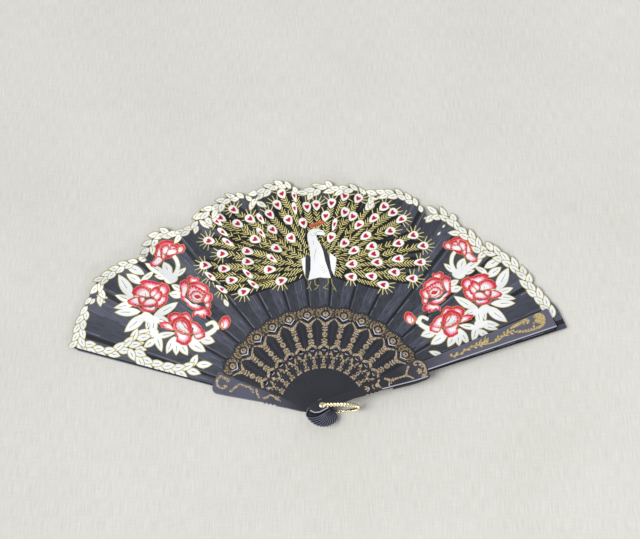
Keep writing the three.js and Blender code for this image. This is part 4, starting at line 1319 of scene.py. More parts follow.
@dataclass(frozen=True)
class LeafPrint:
    """The whole print of the leaf."""

    edge_inset: float = 6.7
    cloth_inset: float = 4.0
    # Painted shadow: a dark band on the cloth where it meets the front blade
    blade_shadow: tuple[Point, ...] = ((94.0, 4.6), (213.4, 9.0), (213.9, -8.0), (210.0, -11.5), (94.0, -5.4))
    blade_shadow_width: float = 2.6
    # Painted shade: a dark line along the cloth's edge over the back blade, through these radii
    edge_shade_line: tuple[float, ...] = (88.0, 120.0, 155.0, 190.0, 216.0)
    edge_shade_width: float = 2.2
    band_size: float = 1.14
    # Radii between which the folded faces get painted light and shade, and between which the pale specks
    # begin
    fold_reach: tuple[float, float] = (84.0, 229.0)
    wear_reach: tuple[float, float] = (88.0, 226.0)
    # Faces with painted light and painted shade: from and to, as shares of a pitch
    fold_faces: tuple[tuple[float, float, Ink], ...] = ((-0.3, 0.1, Ink.BRUSHED), (0.1, 0.2, Ink.SHADED))
    # Lines of pale specks along the folds, partly wear and partly painted highlight: place as a share of a
    # pitch, and width
    wear_and_highlight_lines: tuple[Point, ...] = (
        (-0.05, 0.7), (FAN.fold_share, 0.9), (1 - 1.2 * FAN.fold_share, 0.8))
    wear_start: float = 4.0
    wear_length: Point = (6.0, 30.0)
    wear_foot: Point = (0.5, 1.2)
    wear_tip: Point = (0.3, 0.9)
    wear_wobble: float = 0.006
    # Near the gorge the specks lie close together, further out they are rare
    close_wear: float = 125.0
    close_gap: Point = (1.0, 12.0)
    wide_gap: Point = (1.0, 46.0)
    seed: int = 5
    lobes: tuple[Lobe, ...] = (
        Lobe(0.95, 0.0, ((-207.6, 62.6),)),
        Lobe(2.28, 1.35, ((-193.0, 106.4), (-190.6, 102.4))),
        Lobe(4.15, 2.5, ((-155.4, 144.6),)),
        Lobe(5.12, 4.3, ((-103.4, 182.6), (-104.6, 175.6))),
        Lobe(6.2, 5.5, ((-60.2, 198.0), (-58.4, 191.6))),
        Lobe(8.0, 6.85, ((-8.0, 204.6), (-11.6, 202.0))),
        Lobe(9.2, 8.35, ((47.0, 200.4), (46.6, 196.6))),
        Lobe(10.85, 9.7, ((101.4, 181.6), (99.8, 179.4)), ((145.0, 139.6),), 1.08),
        Lobe(12.25, 11.3, ((149.0, 145.6), (145.0, 145.0)),
             ((198.0, 81.4), (194.3, 91.5), (189.0, 99.8)), 1.12))
    bottom_bands: tuple[tuple[Point, ...], ...] = (
        ((-207.0, 59.4), (-200.0, 56.6), (-192.5, 53.4), (-183.0, 51.2), (-173.7, 52.6), (-166.5, 55.4),
         (-160.6, 60.4), (-156.4, 64.4)),
        ((-162.4, 54.8), (-155.5, 48.6), (-148.5, 43.0), (-138.9, 39.4), (-129.4, 36.4), (-120.0, 35.4),
         (-111.7, 36.6), (-105.0, 40.2)))
    # Small white leaves that lie apart: base, tip and width
    strays: tuple[tuple[Point, Point, float], ...] = (
        ((109.0, 168.4), (110.9, 171.4), 1.7), ((103.9, 160.6), (106.5, 164.0), 1.7),
        ((-80.0, 91.6), (-84.0, 98.4), 3.6), ((101.6, 45.4), (90.0, 49.2), 4.6),
        ((-109.5, 175.5), (-99.8, 166.6), 4.0), ((-103.4, 174.4), (-97.0, 167.8), 4.2),
        ((101.4, 178.6), (92.0, 176.4), 3.8), ((-194.6, 102.6), (-184.8, 100.0), 3.4),
        ((-193.0, 98.8), (-186.2, 95.8), 3.4), ((-195.6, 99.4), (-199.4, 94.4), 3.4),
        ((-158.0, 55.4), (-147.4, 53.0), 4.8), ((-160.0, 57.4), (-150.0, 59.6), 4.8),
        ((-153.4, 60.6), (-146.0, 69.4), 4.8), ((-99.6, 42.6), (-98.6, 36.2), 2.4))

    def marks(self) -> list[Mark]:
        """Return every printed shape in order."""
        sheet = PrintSheet()
        self._folds(sheet)
        # Painted shadow beside the front blade
        gap = [FAN.on_moulding(FAN.gaps, u, v, FAN.leaf_under_front) for u, v in self.blade_shadow]
        sheet.lay(Ink.GROUND, stroke([(p.x, p.y) for p in gap], self.blade_shadow_width))
        Peacock().lay(sheet)
        RoseSpray().lay(sheet)
        for base, tip, width in self.strays:
            sheet.leaf(base, tip, width)
        garland = Garland()
        for band in self.bottom_bands:
            garland.lay(sheet, curve_through(list(band), 6), False, self.band_size)
        for lobe in self.lobes:
            steps = max(3, round(4 * abs(lobe.start - lobe.end)))
            line = list(lobe.head)
            for k in range(steps + 1):
                place = between(lobe.start, lobe.end, k / steps)
                line.append(FAN.plan(place, FAN.scallop(place) - self.edge_inset))
            garland.lay(sheet, curve_through([*line, *lobe.tail], 5), True, lobe.size, not lobe.head)
        # Painted shade along the cloth's edge over the back blade
        end = [FAN.plan(FAN.span(0, radius)[0], radius) for radius in self.edge_shade_line]
        sheet.lay(Ink.GROUND, stroke(end, self.edge_shade_width))
        return sheet.marks

    def _folds(self, sheet: PrintSheet) -> None:
        """Paint the pleats' light and shade: lighter faces as painted light, dark bands as painted shade,
        and pale specks along the folds, partly wear and partly painted highlight.
        """
        rng = random.Random(self.seed)
        near, far = self.fold_reach
        first, last = self.wear_reach
        for index in range(FAN.gaps + 1):
            for start, end, ink in self.fold_faces:
                sheet.lay(ink, [FAN.plan(index + start, near), FAN.plan(index + start, far),
                                FAN.plan(index + end, far), FAN.plan(index + end, near)])
            for share, width in self.wear_and_highlight_lines:
                radius = first + rng.uniform(0.0, self.wear_start)
                while radius < last:
                    length = rng.uniform(*self.wear_length)
                    line = [FAN.plan(index + share + self.wear_wobble * math.sin(radius), radius),
                            FAN.plan(index + share, radius + length)]
                    foot, tip = width * rng.uniform(*self.wear_foot), width * rng.uniform(*self.wear_tip)
                    sheet.lay(Ink.CREASE, stroke(line, foot, tip))
                    gap = self.close_gap if radius < self.close_wear else self.wide_gap
                    radius += length + rng.uniform(*gap)


@dataclass(frozen=True)
class PleatedLeaf:
    """The cloth leaf, one piece for each pitch, joined at the valleys."""

    marks: list[Mark]
    thick: float = 0.2
    grid: float = 2.6
    grid_start: float = 0.2
    reach: float = 245.0
    edge_steps: int = 12
    sharp_angle: float = 14.0
    # A cut of cloth is a little wider than its glued and folded face
    cut_allowance: float = 1.04
    fold_columns: tuple[float, ...] = (-0.16, -0.07, 0.0, 0.07, 0.16, 0.25, 0.35, 0.45, 0.55, 0.65)

    def build(self) -> None:
        """Build and dress all panels."""
        for panel in range(FAN.gaps + 1):
            self._panel(panel)

    def _sector(self, panel: int, inner: float, outer: Callable[[float], float]) -> Outline:
        """Return the plan outline of a panel between an inner radius and an outer curve."""
        low, high = FAN.span(panel, FAN.leaf_radius)
        steps = self.edge_steps
        outline = []
        for k in range(steps + 1):
            radius = between(inner, outer(panel + FAN.span(panel, outer(panel))[0]), k / steps)
            outline.append(FAN.plan(panel + FAN.span(panel, radius)[0], radius))
        for k in range(1, steps):
            place = panel + between(low, high, k / steps)
            outline.append(FAN.plan(place, outer(place)))
        for k in range(steps + 1):
            radius = between(outer(panel + high), inner, k / steps)
            outline.append(FAN.plan(panel + high, radius))
        for k in range(1, steps):
            outline.append(FAN.plan(panel + between(high, FAN.span(panel, inner)[0], k / steps), inner))
        return counter_clockwise(outline)

    def _touching(self, panel: int) -> list[Mark]:
        """Return the marks that reach into a panel."""
        low, high = panel - FAN.fold_share, panel + 1 - FAN.fold_share
        found = []
        for mark in self.marks:
            polar = [FAN.polar(p) for p in mark.outline]
            places = [p for p, _ in polar]
            if max(places) > low and min(places) < high and max(r for _, r in polar) > FAN.gorge_radius:
                found.append(mark)
        return found

    def _panel(self, panel: int) -> None:
        """Build one panel: triangulate the print in plan, raise it to the pleats and thicken it."""
        inner = FAN.gorge_radius + FAN.inner_gap
        inset = LeafPrint().cloth_inset
        sector = self._sector(panel, inner, lambda _: self.reach)
        cloth = self._sector(panel, inner, lambda place: FAN.scallop(place) - inset)
        marks = self._touching(panel)
        points: list[Point] = []
        faces: list[list[int]] = []
        for outline in (sector, cloth, *(m.outline for m in marks)):
            faces.append(list(range(len(points), len(points) + len(outline))))
            points += outline
        edges = []
        rows = int((FAN.scallop(panel + FAN.fold_share) - inner) / self.grid)
        for share in self.fold_columns:
            column = []
            for k in range(rows + 1):
                column.append(len(points))
                points.append(FAN.plan(panel + share, inner + self.grid_start + self.grid * k))
            if abs(share) == FAN.glue_share or share == FAN.fold_share:
                edges += list(zip(column, column[1:]))
        vertices, _, triangles, _, _, origins = delaunay_2d_cdt(
            [Vector(p) for p in points], edges, faces, 1, TOLERANCE)
        kept, inks = [], []
        for triangle, origin in zip(triangles, origins):
            covers = [k - 2 for k in origin if k >= 2]
            if 0 in origin and (1 in origin or any(marks[k].edge for k in covers)):
                kept.append(triangle)
                inks.append(marks[max(covers)].ink if covers else Ink.CLOTH)
        self._raise(panel, [tuple(v) for v in vertices], kept, inks)

    def _raise(self, panel: int, plan: Outline, triangles: list[list[int]], inks: list[Ink]) -> None:
        """Make the panel's mesh from its plan triangles."""
        used = sorted({k for triangle in triangles for k in triangle})
        number = {old: new for new, old in enumerate(used)}
        tops, maps, weights = [], [], []
        for old in used:
            place, radius = FAN.polar(plan[old])
            share = place - panel
            tops.append(FAN.leaf(panel, share, radius) + Vector((0, 0, self.thick / 2)))
            maps.append((share * FAN.pitch * radius / CLOTH_MAP, radius / CLOTH_MAP))
            across = (share - FAN.fold_share) / (1 - 2 * FAN.fold_share)
            weights.append(min(1.0, max(0.0, across)))
        front = [tuple(number[k] for k in triangle) for triangle in triangles]
        count = len(tops)
        back = [tuple(count + k for k in reversed(triangle)) for triangle in front]
        rim = side_walls(front, count)
        palette = [*sorted(set(inks), key=lambda ink: ink.value.name), Ink.BACK]
        slots = [palette.index(ink) for ink in inks] + [len(palette) - 1] * (len(back) + len(rim))
        piece = new_piece(
            f"leaf_cloth_{panel:02d}", [p * MM for p in tops + self._lowered(tops, front)],
            [*front, *back, *rim], palette, slots)
        mesh = piece.data
        uv = mesh.uv_layers.new(name="cloth")
        for loop in mesh.loops:
            uv.data[loop.index].uv = maps[loop.vertex_index % count]
        mesh.polygons.foreach_set("use_smooth", [True] * len(mesh.polygons))
        mesh.set_sharp_from_angle(angle=math.radians(self.sharp_angle))
        self._hang(piece, panel)

    def _lowered(self, tops: list[Vector], front: list[tuple[int, ...]]) -> list[Vector]:
        """Return the underside's points, one thickness below along the surface's normals."""
        normals = [Vector() for _ in tops]
        for a, b, c in front:
            normal = (tops[b] - tops[a]).cross(tops[c] - tops[a])
            for k in (a, b, c):
                normals[k] += normal
        return [top - (n.normalized() if n.length > 0 else UP) * self.thick for top, n in zip(tops, normals)]

    def _hang(self, piece: bpy.types.Object, panel: int) -> None:
        """Attach the last panel to the front guard, bake the others' placing into their points, and hide the
        matching CAD panel.
        """
        names = ["back_guard", *(f"stick_{k:02d}" for k in range(1, FAN.gaps)), "front_guard"]
        if panel == FAN.gaps:
            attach(piece, names[panel])
        else:
            middle = 0.5 * (FAN.gorge_radius + FAN.leaf_radius)
            start = FAN.leaf(panel, FAN.fold_share, middle) * MM
            end = FAN.leaf(panel, 1 - FAN.fold_share, middle) * MM
            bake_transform(piece)
        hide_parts(f"leaf_panel_{panel:02d}")
        area, width, length = self._cut_size(panel)
        report(piece)

    def _cut_size(self, panel: int) -> tuple[float, float, float]:
        """Return the flat area, width and length of a panel's cloth, in metres."""
        inner = FAN.gorge_radius + FAN.inner_gap
        steps = self.edge_steps
        widths, reaches = [], []
        for radius in (inner, 0.5 * (inner + FAN.leaf_radius), FAN.leaf_radius):
            low, high = FAN.span(panel, radius)
            row = [FAN.leaf(panel, between(low, high, k / steps), radius) for k in range(steps + 1)]
            widths.append(sum((b - a).length for a, b in zip(row, row[1:])))
        for k in range(steps + 1):
            low, high = FAN.span(panel, FAN.leaf_radius)
            reaches.append(FAN.scallop(panel + between(low, high, k / steps)) - inner)
        mean_reach = sum(reaches) / len(reaches)
        area = (widths[0] + 4 * widths[1] + widths[2]) / 6 * mean_reach
        return area * MM * MM, widths[2] * self.cut_allowance * MM, max(reaches) * MM


@dataclass(frozen=True)
class ReliefLayer:
    """Flat shapes of one finish, raised from one height to another above a moulding."""

    finish: Finish
    low: float
    high: float
    outlines: list[Outline]
    taper: float = 0.0


def standing(
        finish: Finish, face: float, rise: float, outlines: list[Outline],
        taper: float = 0.0) -> ReliefLayer:
    """Return ornament that stands on a face of a moulding and rises above it."""
    return ReliefLayer(finish, face - SINK, face + rise, outlines, taper)


def tapered_shape(plan: Outline, shape: list[int], taper: float) -> Outline:
    """Return a shape's points, drawn in by a share towards their middle."""
    middle = middle_of([plan[k] for k in shape])
    return [step_towards(plan[k], middle, taper) for k in shape]


def fan_triangles(shape: list[int]) -> list[list[int]]:
    """Return the triangles of a convex shape."""
    return [[shape[0], shape[k], shape[k + 1]] for k in range(1, len(shape) - 1)]


def relief_piece(name: str, index: int, layers: list[ReliefLayer]) -> bpy.types.Object:
    """Build raised ornament on a moulding.

    Args:
        name: the piece's name.
        index: the moulding's number, 0 for the back guard.
        layers: the ornament, in the moulding's own u, v and h.

    Returns:
        The new piece, in place.
    """
    points: list[Vector] = []
    faces: list[tuple[int, ...]] = []
    slots: list[int] = []
    finishes = list(dict.fromkeys(layer.finish for layer in layers))
    for layer in layers:
        plan: Outline = []
        shapes = []
        for outline in layer.outlines:
            shapes.append(list(range(len(plan), len(plan) + len(outline))))
            plan += counter_clockwise(outline)
        if layer.taper:
            tapered = [tapered_shape(plan, shape, layer.taper) for shape in shapes]
            high = [p for shape in tapered for p in shape]
            vertices = [Vector(p) for p in plan]
            triangles = [face for shape in shapes for face in fan_triangles(shape)]
        else:
            vertices, _, triangles, _, _, _ = delaunay_2d_cdt(
                [Vector(p) for p in plan], [], shapes, 1, TOLERANCE)
            high = [tuple(v) for v in vertices]
        first, count = len(points), len(vertices)
        points += [FAN.on_moulding(index, u, v, layer.high) * MM for u, v in high]
        points += [FAN.on_moulding(index, v.x, v.y, layer.low) * MM for v in vertices]
        front = [tuple(first + k for k in triangle) for triangle in triangles]
        walls = side_walls(front, count)
        faces += [*front, *walls]
        slots += [finishes.index(layer.finish)] * (len(front) + len(walls))
    return new_piece(name, points, faces, finishes, slots)


@dataclass(frozen=True)
class Sticks:
    """The twelve pierced sticks: softened mouldings with foiled ornament and a raised net."""

    foil_rise: float = 0.16
    crown_share: float = 0.7
    bead_rise: float = 0.22
    glint_rise: float = 0.06
    tail_shade_rise: float = 0.04
    rib_rise: float = 0.1
    net_rise: float = 0.3
    net_step: float = 1.55
    net_half: float = 0.5
    net_columns: int = 5
    net_start: float = 57.0
    net_end: float = 74.5
    net_inner: float = 2.9
    net_margin: float = 0.3
    # The net's outer edge draws in from here on, by so much for each millimetre
    net_narrow_start: float = 71.5
    net_narrow: float = 0.55
    net_taper: float = 0.82
    edge_round: float = 0.26
    ball: Point = (83.3, 0.0)
    arch_radius: float = 4.9
    petal_radius: float = 6.3
    # Lines along the tail behind the rivet, a dark one as painted shade and a light rib as painted
    # highlight: distance from its edge, and width
    tail_shade: Point = (1.6, 1.3)
    tail_rib: Point = (0.4, 0.6)

    def build(self) -> None:
        """Dress every stick."""
        foil, crown, beads = self._foil(), self._crown(), self._beads()
        glints, net = self._glints(), self._net()
        for index in range(1, FAN.gaps):
            node = frame["nodes"][f"stick_{index:02d}"]
            # Lighter rounded edges as painted highlight, near-black upright walls as painted shade
            soften(node, self.edge_round, Finish.STICK, Finish.STICK_EDGE, Finish.GROOVE)
            top = FAN.first_stick + (index - 1) * FAN.stick_pitch + FAN.stick_thick
            piece = relief_piece(f"stick_relief_{index:02d}", index, [
                standing(Finish.DULL_FOIL, top, self.crown_share * self.foil_rise, crown),
                standing(Finish.FOIL, top, self.foil_rise, foil),
                ReliefLayer(Finish.STICK, top + self.foil_rise - SINK, top + self.bead_rise, beads),
                # Painted glints, then a dark painted shade line and a light painted highlight rib along the
                # tail
                standing(Finish.LAND, top, self.glint_rise, glints),
                standing(Finish.GROOVE, top, self.tail_shade_rise, [self._tail_line(*self.tail_shade)]),
                standing(Finish.RIB, top, self.rib_rise, [self._tail_line(*self.tail_rib)]),
                standing(Finish.STICK, top, self.net_rise, net, self.net_taper)])
            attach(piece, f"stick_{index:02d}")
            report(piece)

    def _foil(self) -> list[Outline]:
        """Return the foiled shapes from the foot of the ornament to the crown."""
        shapes = [oval((36.0, 0.0), 2.2, 4.0, 0.0, 12), oval((38.5, 0.0), 2.0, 2.1, 0.0, 10),
                  oval((41.3, 0.0), 3.2, 2.9), oval((44.4, 0.0), 2.6, 2.4, 0.0, 10)]
        for side in (1, -1):
            shapes += [oval((35.3, side * 1.9), 1.6, 1.6, 0.0, 8),
                       oval((37.6, side * 1.7), 1.2, 1.2, 0.0, 8),
                       pointed_oval((44.6, side * 1.0), (49.9, side * 3.9), 1.9, 0.6),
                       oval((47.2, side * 3.9), 1.7, 1.4, 0.0, 8),
                       oval((44.4, side * 2.5), 1.3, 1.2, 0.0, 8)]
        halves = [[(54.5, 0.0), (51.3, 4.3), (52.2, 5.5), (53.6, 4.9), (57.3, 0.0)]]
        for u in (57.7, 59.9):
            halves.append([(u, 0.0), (u - 1.1, 2.1), (u, 2.7), (u + 1.6, 0.0)])
        shapes += [mirrored(half) for half in halves]
        shapes.append(pointed_oval((61.8, 0.0), (67.6, 0.0), 4.6, 0.5))
        halves = [[(u, 0.0), (u + 0.9, 2.3), (u + 2.1, 2.2), (u + 1.6, 0.0)] for u in (67.6, 69.9)]
        halves.append([(72.0, 0.0), (72.6, 1.7), (74.2, 2.9), (75.9, 4.0), (77.3, 5.4), (78.5, 7.2),
                       (79.4, 7.4), (79.4, 6.4), (78.0, 4.3), (76.7, 2.4), (75.7, 0.9), (75.4, 0.0)])
        shapes += [mirrored(half) for half in halves]
        shapes.append(oval(self.ball, 4.7, 4.9, 0.0, 18))
        return shapes

    def _crown(self) -> list[Outline]:
        """Return the crown's petals and scrolls, whose foil is rubbed."""
        shapes = [oval((88.6, 0.0), 2.6, 2.2, 0.0, 10)]
        for side in (1, -1):
            arch = [offset(self.ball, side * turn, self.arch_radius) for turn in (0.42, 0.8, 1.2, 1.6)]
            shapes.append(curved_stroke(arch, 3, 1.9, 1.5))
            shapes += [oval(offset(self.ball, side * turn, self.petal_radius), 1.6, 1.3, side * turn, 8)
                       for turn in (0.36, 0.7, 1.04)]
            scroll = ((81.0, 5.2), (82.4, 6.9), (84.6, 7.6), (86.8, 7.3), (88.2, 6.2))
            shapes.append(curved_stroke([(u, side * v) for u, v in scroll], 4, 1.5, 1.1))
            for u, v, length, width in ((87.2, 6.5, 1.9, 1.7), (82.6, 4.4, 1.9, 1.5), (85.2, 6.2, 1.3, 1.2)):
                shapes.append(oval((u, side * v), length, width, 0.0, 8))
        return shapes

    @staticmethod
    def _beads() -> list[Outline]:
        """Return the small black shapes that are moulded through the foil."""
        beads = [oval((41.2, 0.0), 1.6, 1.0, 0.0, 8), oval((83.9, 0.0), 1.5, 1.5, 0.0, 10),
                 oval((36.3, 0.0), 0.9, 0.7, 0.0, 6), oval((47.8, 0.0), 1.6, 1.6, 0.0, 8)]
        for side in (1, -1):
            for u, v, length, width, turn in (
                    (64.6, 0.7, 2.4, 0.45, 0.0), (87.6, 1.3, 2.2, 0.5, 0.25), (46.2, 3.2, 0.8, 0.8, 0.0)):
                beads.append(oval((u, side * v), length, width, side * turn, 6))
        return beads

    @staticmethod
    def _glints() -> list[Outline]:
        """Return the painted glints: along the chevron slot, over the triangle, and under the ball."""
        chevron = mirrored([(78.2, 0.0), (81.35, 4.2), (82.2, 4.2), (79.3, 0.0)])
        under = curved_stroke([(54.2, -1.5), (54.9, 0.0), (54.2, 1.5)], 4, 0.35)
        below = curved_stroke([(51.0, -1.5), (50.6, 0.0), (51.0, 1.5)], 4, 0.5)
        return [chevron, under, below]

    @staticmethod
    def _tail_line(inset: float, width: float) -> Outline:
        """Return a line at some distance inside the edge of the tail behind the rivet."""
        edge = [(4.0, 6.0), (-3.8, 6.0), (-9.4, 5.2), (-13.7, 2.7), (-15.2, 0.0)]
        line = []
        for u, v in edge:
            share = 1 - inset / math.hypot(u, v)
            line.append((u * share, v * share))
        return curved_stroke(line + [(u, -v) for u, v in reversed(line[:-1])], 3, width)

    def _net(self) -> list[Outline]:
        """Return the lozenges of the net on both sides of the stem."""
        lozenges = []
        rows = int((self.net_end - self.net_start) / (self.net_step / 2))
        for row in range(rows):
            u = self.net_start + row * self.net_step / 2
            edge = u * math.sin(FAN.pitch / 2) - self.net_margin
            edge -= max(0.0, self.net_narrow * (u - self.net_narrow_start))
            for column in range(self.net_columns):
                v = self.net_inner + (column + 0.5 * (row % 2)) * self.net_step
                if v + self.net_half < edge:
                    half = self.net_half
                    shape = [(u - half, v), (u, v - half), (u + half, v), (u, v + half)]
                    lozenges += [shape, [(a, -b) for a, b in shape]]
        return lozenges


def soften(node: bpy.types.Object, width: float, finish: Finish, edge_finish: Finish, wall: Finish) -> None:
    """Round a moulding's edges a little and give it its plastic.

    Args:
        node: the CAD node's object.
        width: the width of the rounding in millimetres.
        finish: its plastic.
        edge_finish: the finish of the rounded edges: on the sticks a lighter plastic as painted highlight,
            on the front guard a near-black one as painted shade.
        wall: the finish of its upright sides, near-black as painted shade on the sticks and the front guard.
    """
    weld = node.modifiers.new("joined_faces", "WELD")
    weld.merge_threshold = JOINED * MM
    bevel = node.modifiers.new("rounded_edges", "BEVEL")
    bevel.width = width * MM
    bevel.segments = 2
    bevel.limit_method = "ANGLE"
    bevel.angle_limit = math.radians(ROUNDED_ANGLE)
    bevel.use_clamp_overlap = True
    bevel.material = 1
    node.data.materials.clear()
    for plastic in (finish, edge_finish, wall):
        node.data.materials.append(SHELF.get(plastic))
    for face in node.data.polygons:
        face.material_index = 2 if abs(face.normal.z) < 0.5 else 0


@dataclass(frozen=True)
class Guards:
    """The two outer mouldings, with foiled scrolls on their gorges and on the front blade, and painted
    highlight lines along the front guard's edges.
    """

    foil_rise: float = 0.16
    edge_round: float = 0.7
    # A painted highlight line along the front guard's outer edge: distance from the edge, and width
    line_inset: float = 1.0
    line_width: float = 0.85
    # A near-black wall under the outer edge, as painted shadow: its depth, thickness and drop
    shadow_wall_depth: float = 6.2
    shadow_wall_thick: float = 0.3
    shadow_wall_drop: float = 0.3
    # Low enough for the bail to pass over
    head_line_rise: float = 0.06

    def build(self) -> None:
        """Dress both guards."""
        # The front guard's rounded edges and walls are near-black, as painted shade
        for name, plastics in (
                ("back_guard", (Finish.BACK_GUARD, Finish.BACK_GUARD, Finish.BACK_GUARD)),
                ("front_guard", (Finish.FRONT_GUARD, Finish.GROOVE, Finish.GROOVE))):
            soften(frame["nodes"][name], self.edge_round, *plastics)
        gorge, blade, line = FAN.front_top, FAN.front_blade_top, Finish.GUARD_EDGE
        # Painted highlight lines along the gorge, the head and the blade
        gorge_line = self._highlight_line((51.0, -6.2), (80.0, -9.65), (90.4, -10.1))
        head_line = self._highlight_line((-10.6, -1.4), (-7.7, -4.3), (-4.0, -5.3), (0.0, -4.9), (4.0, -4.3))
        blade_line = self._highlight_line((93.4, -4.6), (212.8, -9.6))
        low = [standing(Finish.FOIL, FAN.back_top, self.foil_rise, self._back_scrolls())]
        high = [standing(Finish.FOIL, gorge, self.foil_rise, self._front_scrolls()),
                standing(Finish.BRIGHT_FOIL, blade, self.foil_rise, self._blade_scrolls()),
                standing(line, gorge, self.foil_rise, [gorge_line]),
                standing(line, gorge, self.head_line_rise, [head_line]),
                standing(line, blade, self.foil_rise, [blade_line]),
                self._shadow_wall(gorge, (60.0, -7.45), (72.0, -8.9), (80.0, -9.8), (90.2, -9.98))]
        for name, index, layers in (("back_guard_foil", 0, low), ("front_guard_foil", FAN.gaps, high)):
            piece = relief_piece(name, index, layers)
            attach(piece, "back_guard" if index == 0 else "front_guard")
            report(piece)

    def _highlight_line(self, *edge: Point) -> Outline:
        """Return the painted highlight line beside an outer edge."""
        return stroke([(u, v + self.line_inset) for u, v in edge], self.line_width)

    def _shadow_wall(self, top: float, *edge: Point) -> ReliefLayer:
        """Return a near-black upright wall under the outer edge, as painted shadow below the guard."""
        wall = stroke(list(edge), self.shadow_wall_thick)
        return ReliefLayer(Finish.GROOVE, top - self.shadow_wall_depth, top - self.shadow_wall_drop, [wall])

    @staticmethod
    def _back_scrolls() -> list[Outline]:
        """Return the back gorge's ornament, which runs partly under the first stick."""
        return [
            curved_stroke([(82.2, 1.2), (81.4, 2.6), (83.0, 4.0), (85.6, 4.6), (88.6, 3.4), (90.4, 0.6),
                           (90.2, -2.6), (89.0, -5.0)], 4, 1.3, 2.4),
            stroke([(80.4, -3.4), (84.6, -4.0), (89.4, -4.8)], 2.4, 2.2),
            oval((83.2, 2.0), 2.2, 2.0, 0.0, 9), oval((81.8, -2.6), 2.8, 2.4, 0.4, 9),
            stroke([(76.9, 5.0), (74.6, 1.8), (72.0, -2.8)], 1.9, 1.7), oval((76.8, 4.8), 2.2, 2.1, 0.0, 9),
            curved_stroke([(73.4, -1.6), (70.6, -3.0), (66.0, -2.6), (62.0, -3.0)], 4, 1.3, 1.2),
            oval((68.6, -2.7), 2.2, 1.9, 0.0, 9), oval((65.6, -2.3), 2.2, 2.0, 0.0, 9),
            oval((60.6, -1.4), 4.2, 2.4, -0.4, 12), pointed_oval((62.6, -2.4), (57.4, 1.4), 2.2),
            stroke([(52.2, 3.9), (54.6, 1.2), (57.2, -2.6)], 1.7, 1.9),
            curved_stroke([(49.6, 3.1), (46.6, 2.0), (45.0, -0.6), (43.0, -1.2), (39.4, -0.6)], 4, 1.8, 1.2),
            oval((47.6, 2.2), 3.6, 2.0, 0.5, 10), pointed_oval((41.0, -0.8), (34.2, 1.6), 2.2),
            pointed_oval((40.6, -1.0), (35.4, -1.8), 1.8), oval((38.4, 0.4), 2.4, 2.2, 0.0, 9)]

    @staticmethod
    def _front_scrolls() -> list[Outline]:
        """Return the front gorge's ornament, from the head outwards."""
        shapes = [oval((40.4, -0.9), 2.4, 2.8, 0.0, 10)]
        shapes += [pointed_oval((41.4, -0.8), tip, 1.7) for tip in ((37.8, 1.9), (37.2, -0.6), (38.0, -3.2))]
        shapes += [curved_stroke([(45.4, 1.0), (44.4, -0.8), (45.2, -3.2)], 4, 1.1, 0.9),
                   curved_stroke([(51.8, 2.8), (49.8, 0.8), (49.4, -1.6), (50.6, -4.4)], 4, 1.5, 1.1)]
        shapes += [pointed_oval((46.6, -0.8), tip, 1.6) for tip in ((51.0, 1.2), (50.4, -1.0), (50.2, -3.2))]
        shapes += [stroke([(56.0, 2.4), (59.4, -1.0), (57.2, -5.2)], 1.7, 1.3),
                   stroke([(58.4, 1.6), (61.2, -1.3), (59.6, -4.0)], 1.0, 0.8)]
        for u, length, width in ((62.4, 1.7, 3.2), (64.4, 1.5, 2.6), (66.6, 2.2, 2.1), (69.2, 2.4, 1.8),
                                 (71.6, 2.0, 1.9), (73.6, 1.7, 2.3)):
            shapes.append(oval((u, -1.3 - 0.06 * (u - 62)), length, width, 0.0, 9))
        shapes += [stroke([(62.0, -1.4), (74.4, -1.8)], 0.9),
                   curved_stroke([(73.6, -1.8), (75.4, 0.2), (76.8, 2.2), (78.6, 4.2)], 4, 1.6, 1.4),
                   curved_stroke([(73.6, -1.6), (75.6, -3.4), (77.2, -5.0), (78.8, -6.9)], 4, 1.6, 1.2),
                   oval((78.6, 4.1), 2.3, 2.3, 0.0, 10),
                   curved_stroke([(85.4, 3.0), (84.2, 4.6), (85.8, 5.7), (88.2, 5.5), (90.4, 3.6),
                                  (91.4, 0.4), (91.2, -3.0), (89.8, -6.2), (88.2, -8.2)], 4, 1.2, 2.2),
                   oval((85.2, 3.4), 1.9, 1.7, 0.0, 9)]
        for k in range(5):
            turn = 2 * math.pi * k / 5 + 0.3
            shapes.append(oval(offset((86.0, -2.6), turn, 1.5), 2.4, 1.7, turn, 9))
        for tip, base in (
                ((87.0, 2.4), (90.8, 2.2)), ((88.0, 0.2), (91.0, 0.0)), ((88.2, -4.2), (90.8, -3.2)),
                ((85.2, -6.2), (89.0, -6.6)), ((85.0, -7.8), (88.4, -8.0))):
            shapes.append(pointed_oval(base, tip, 1.7))
        return shapes

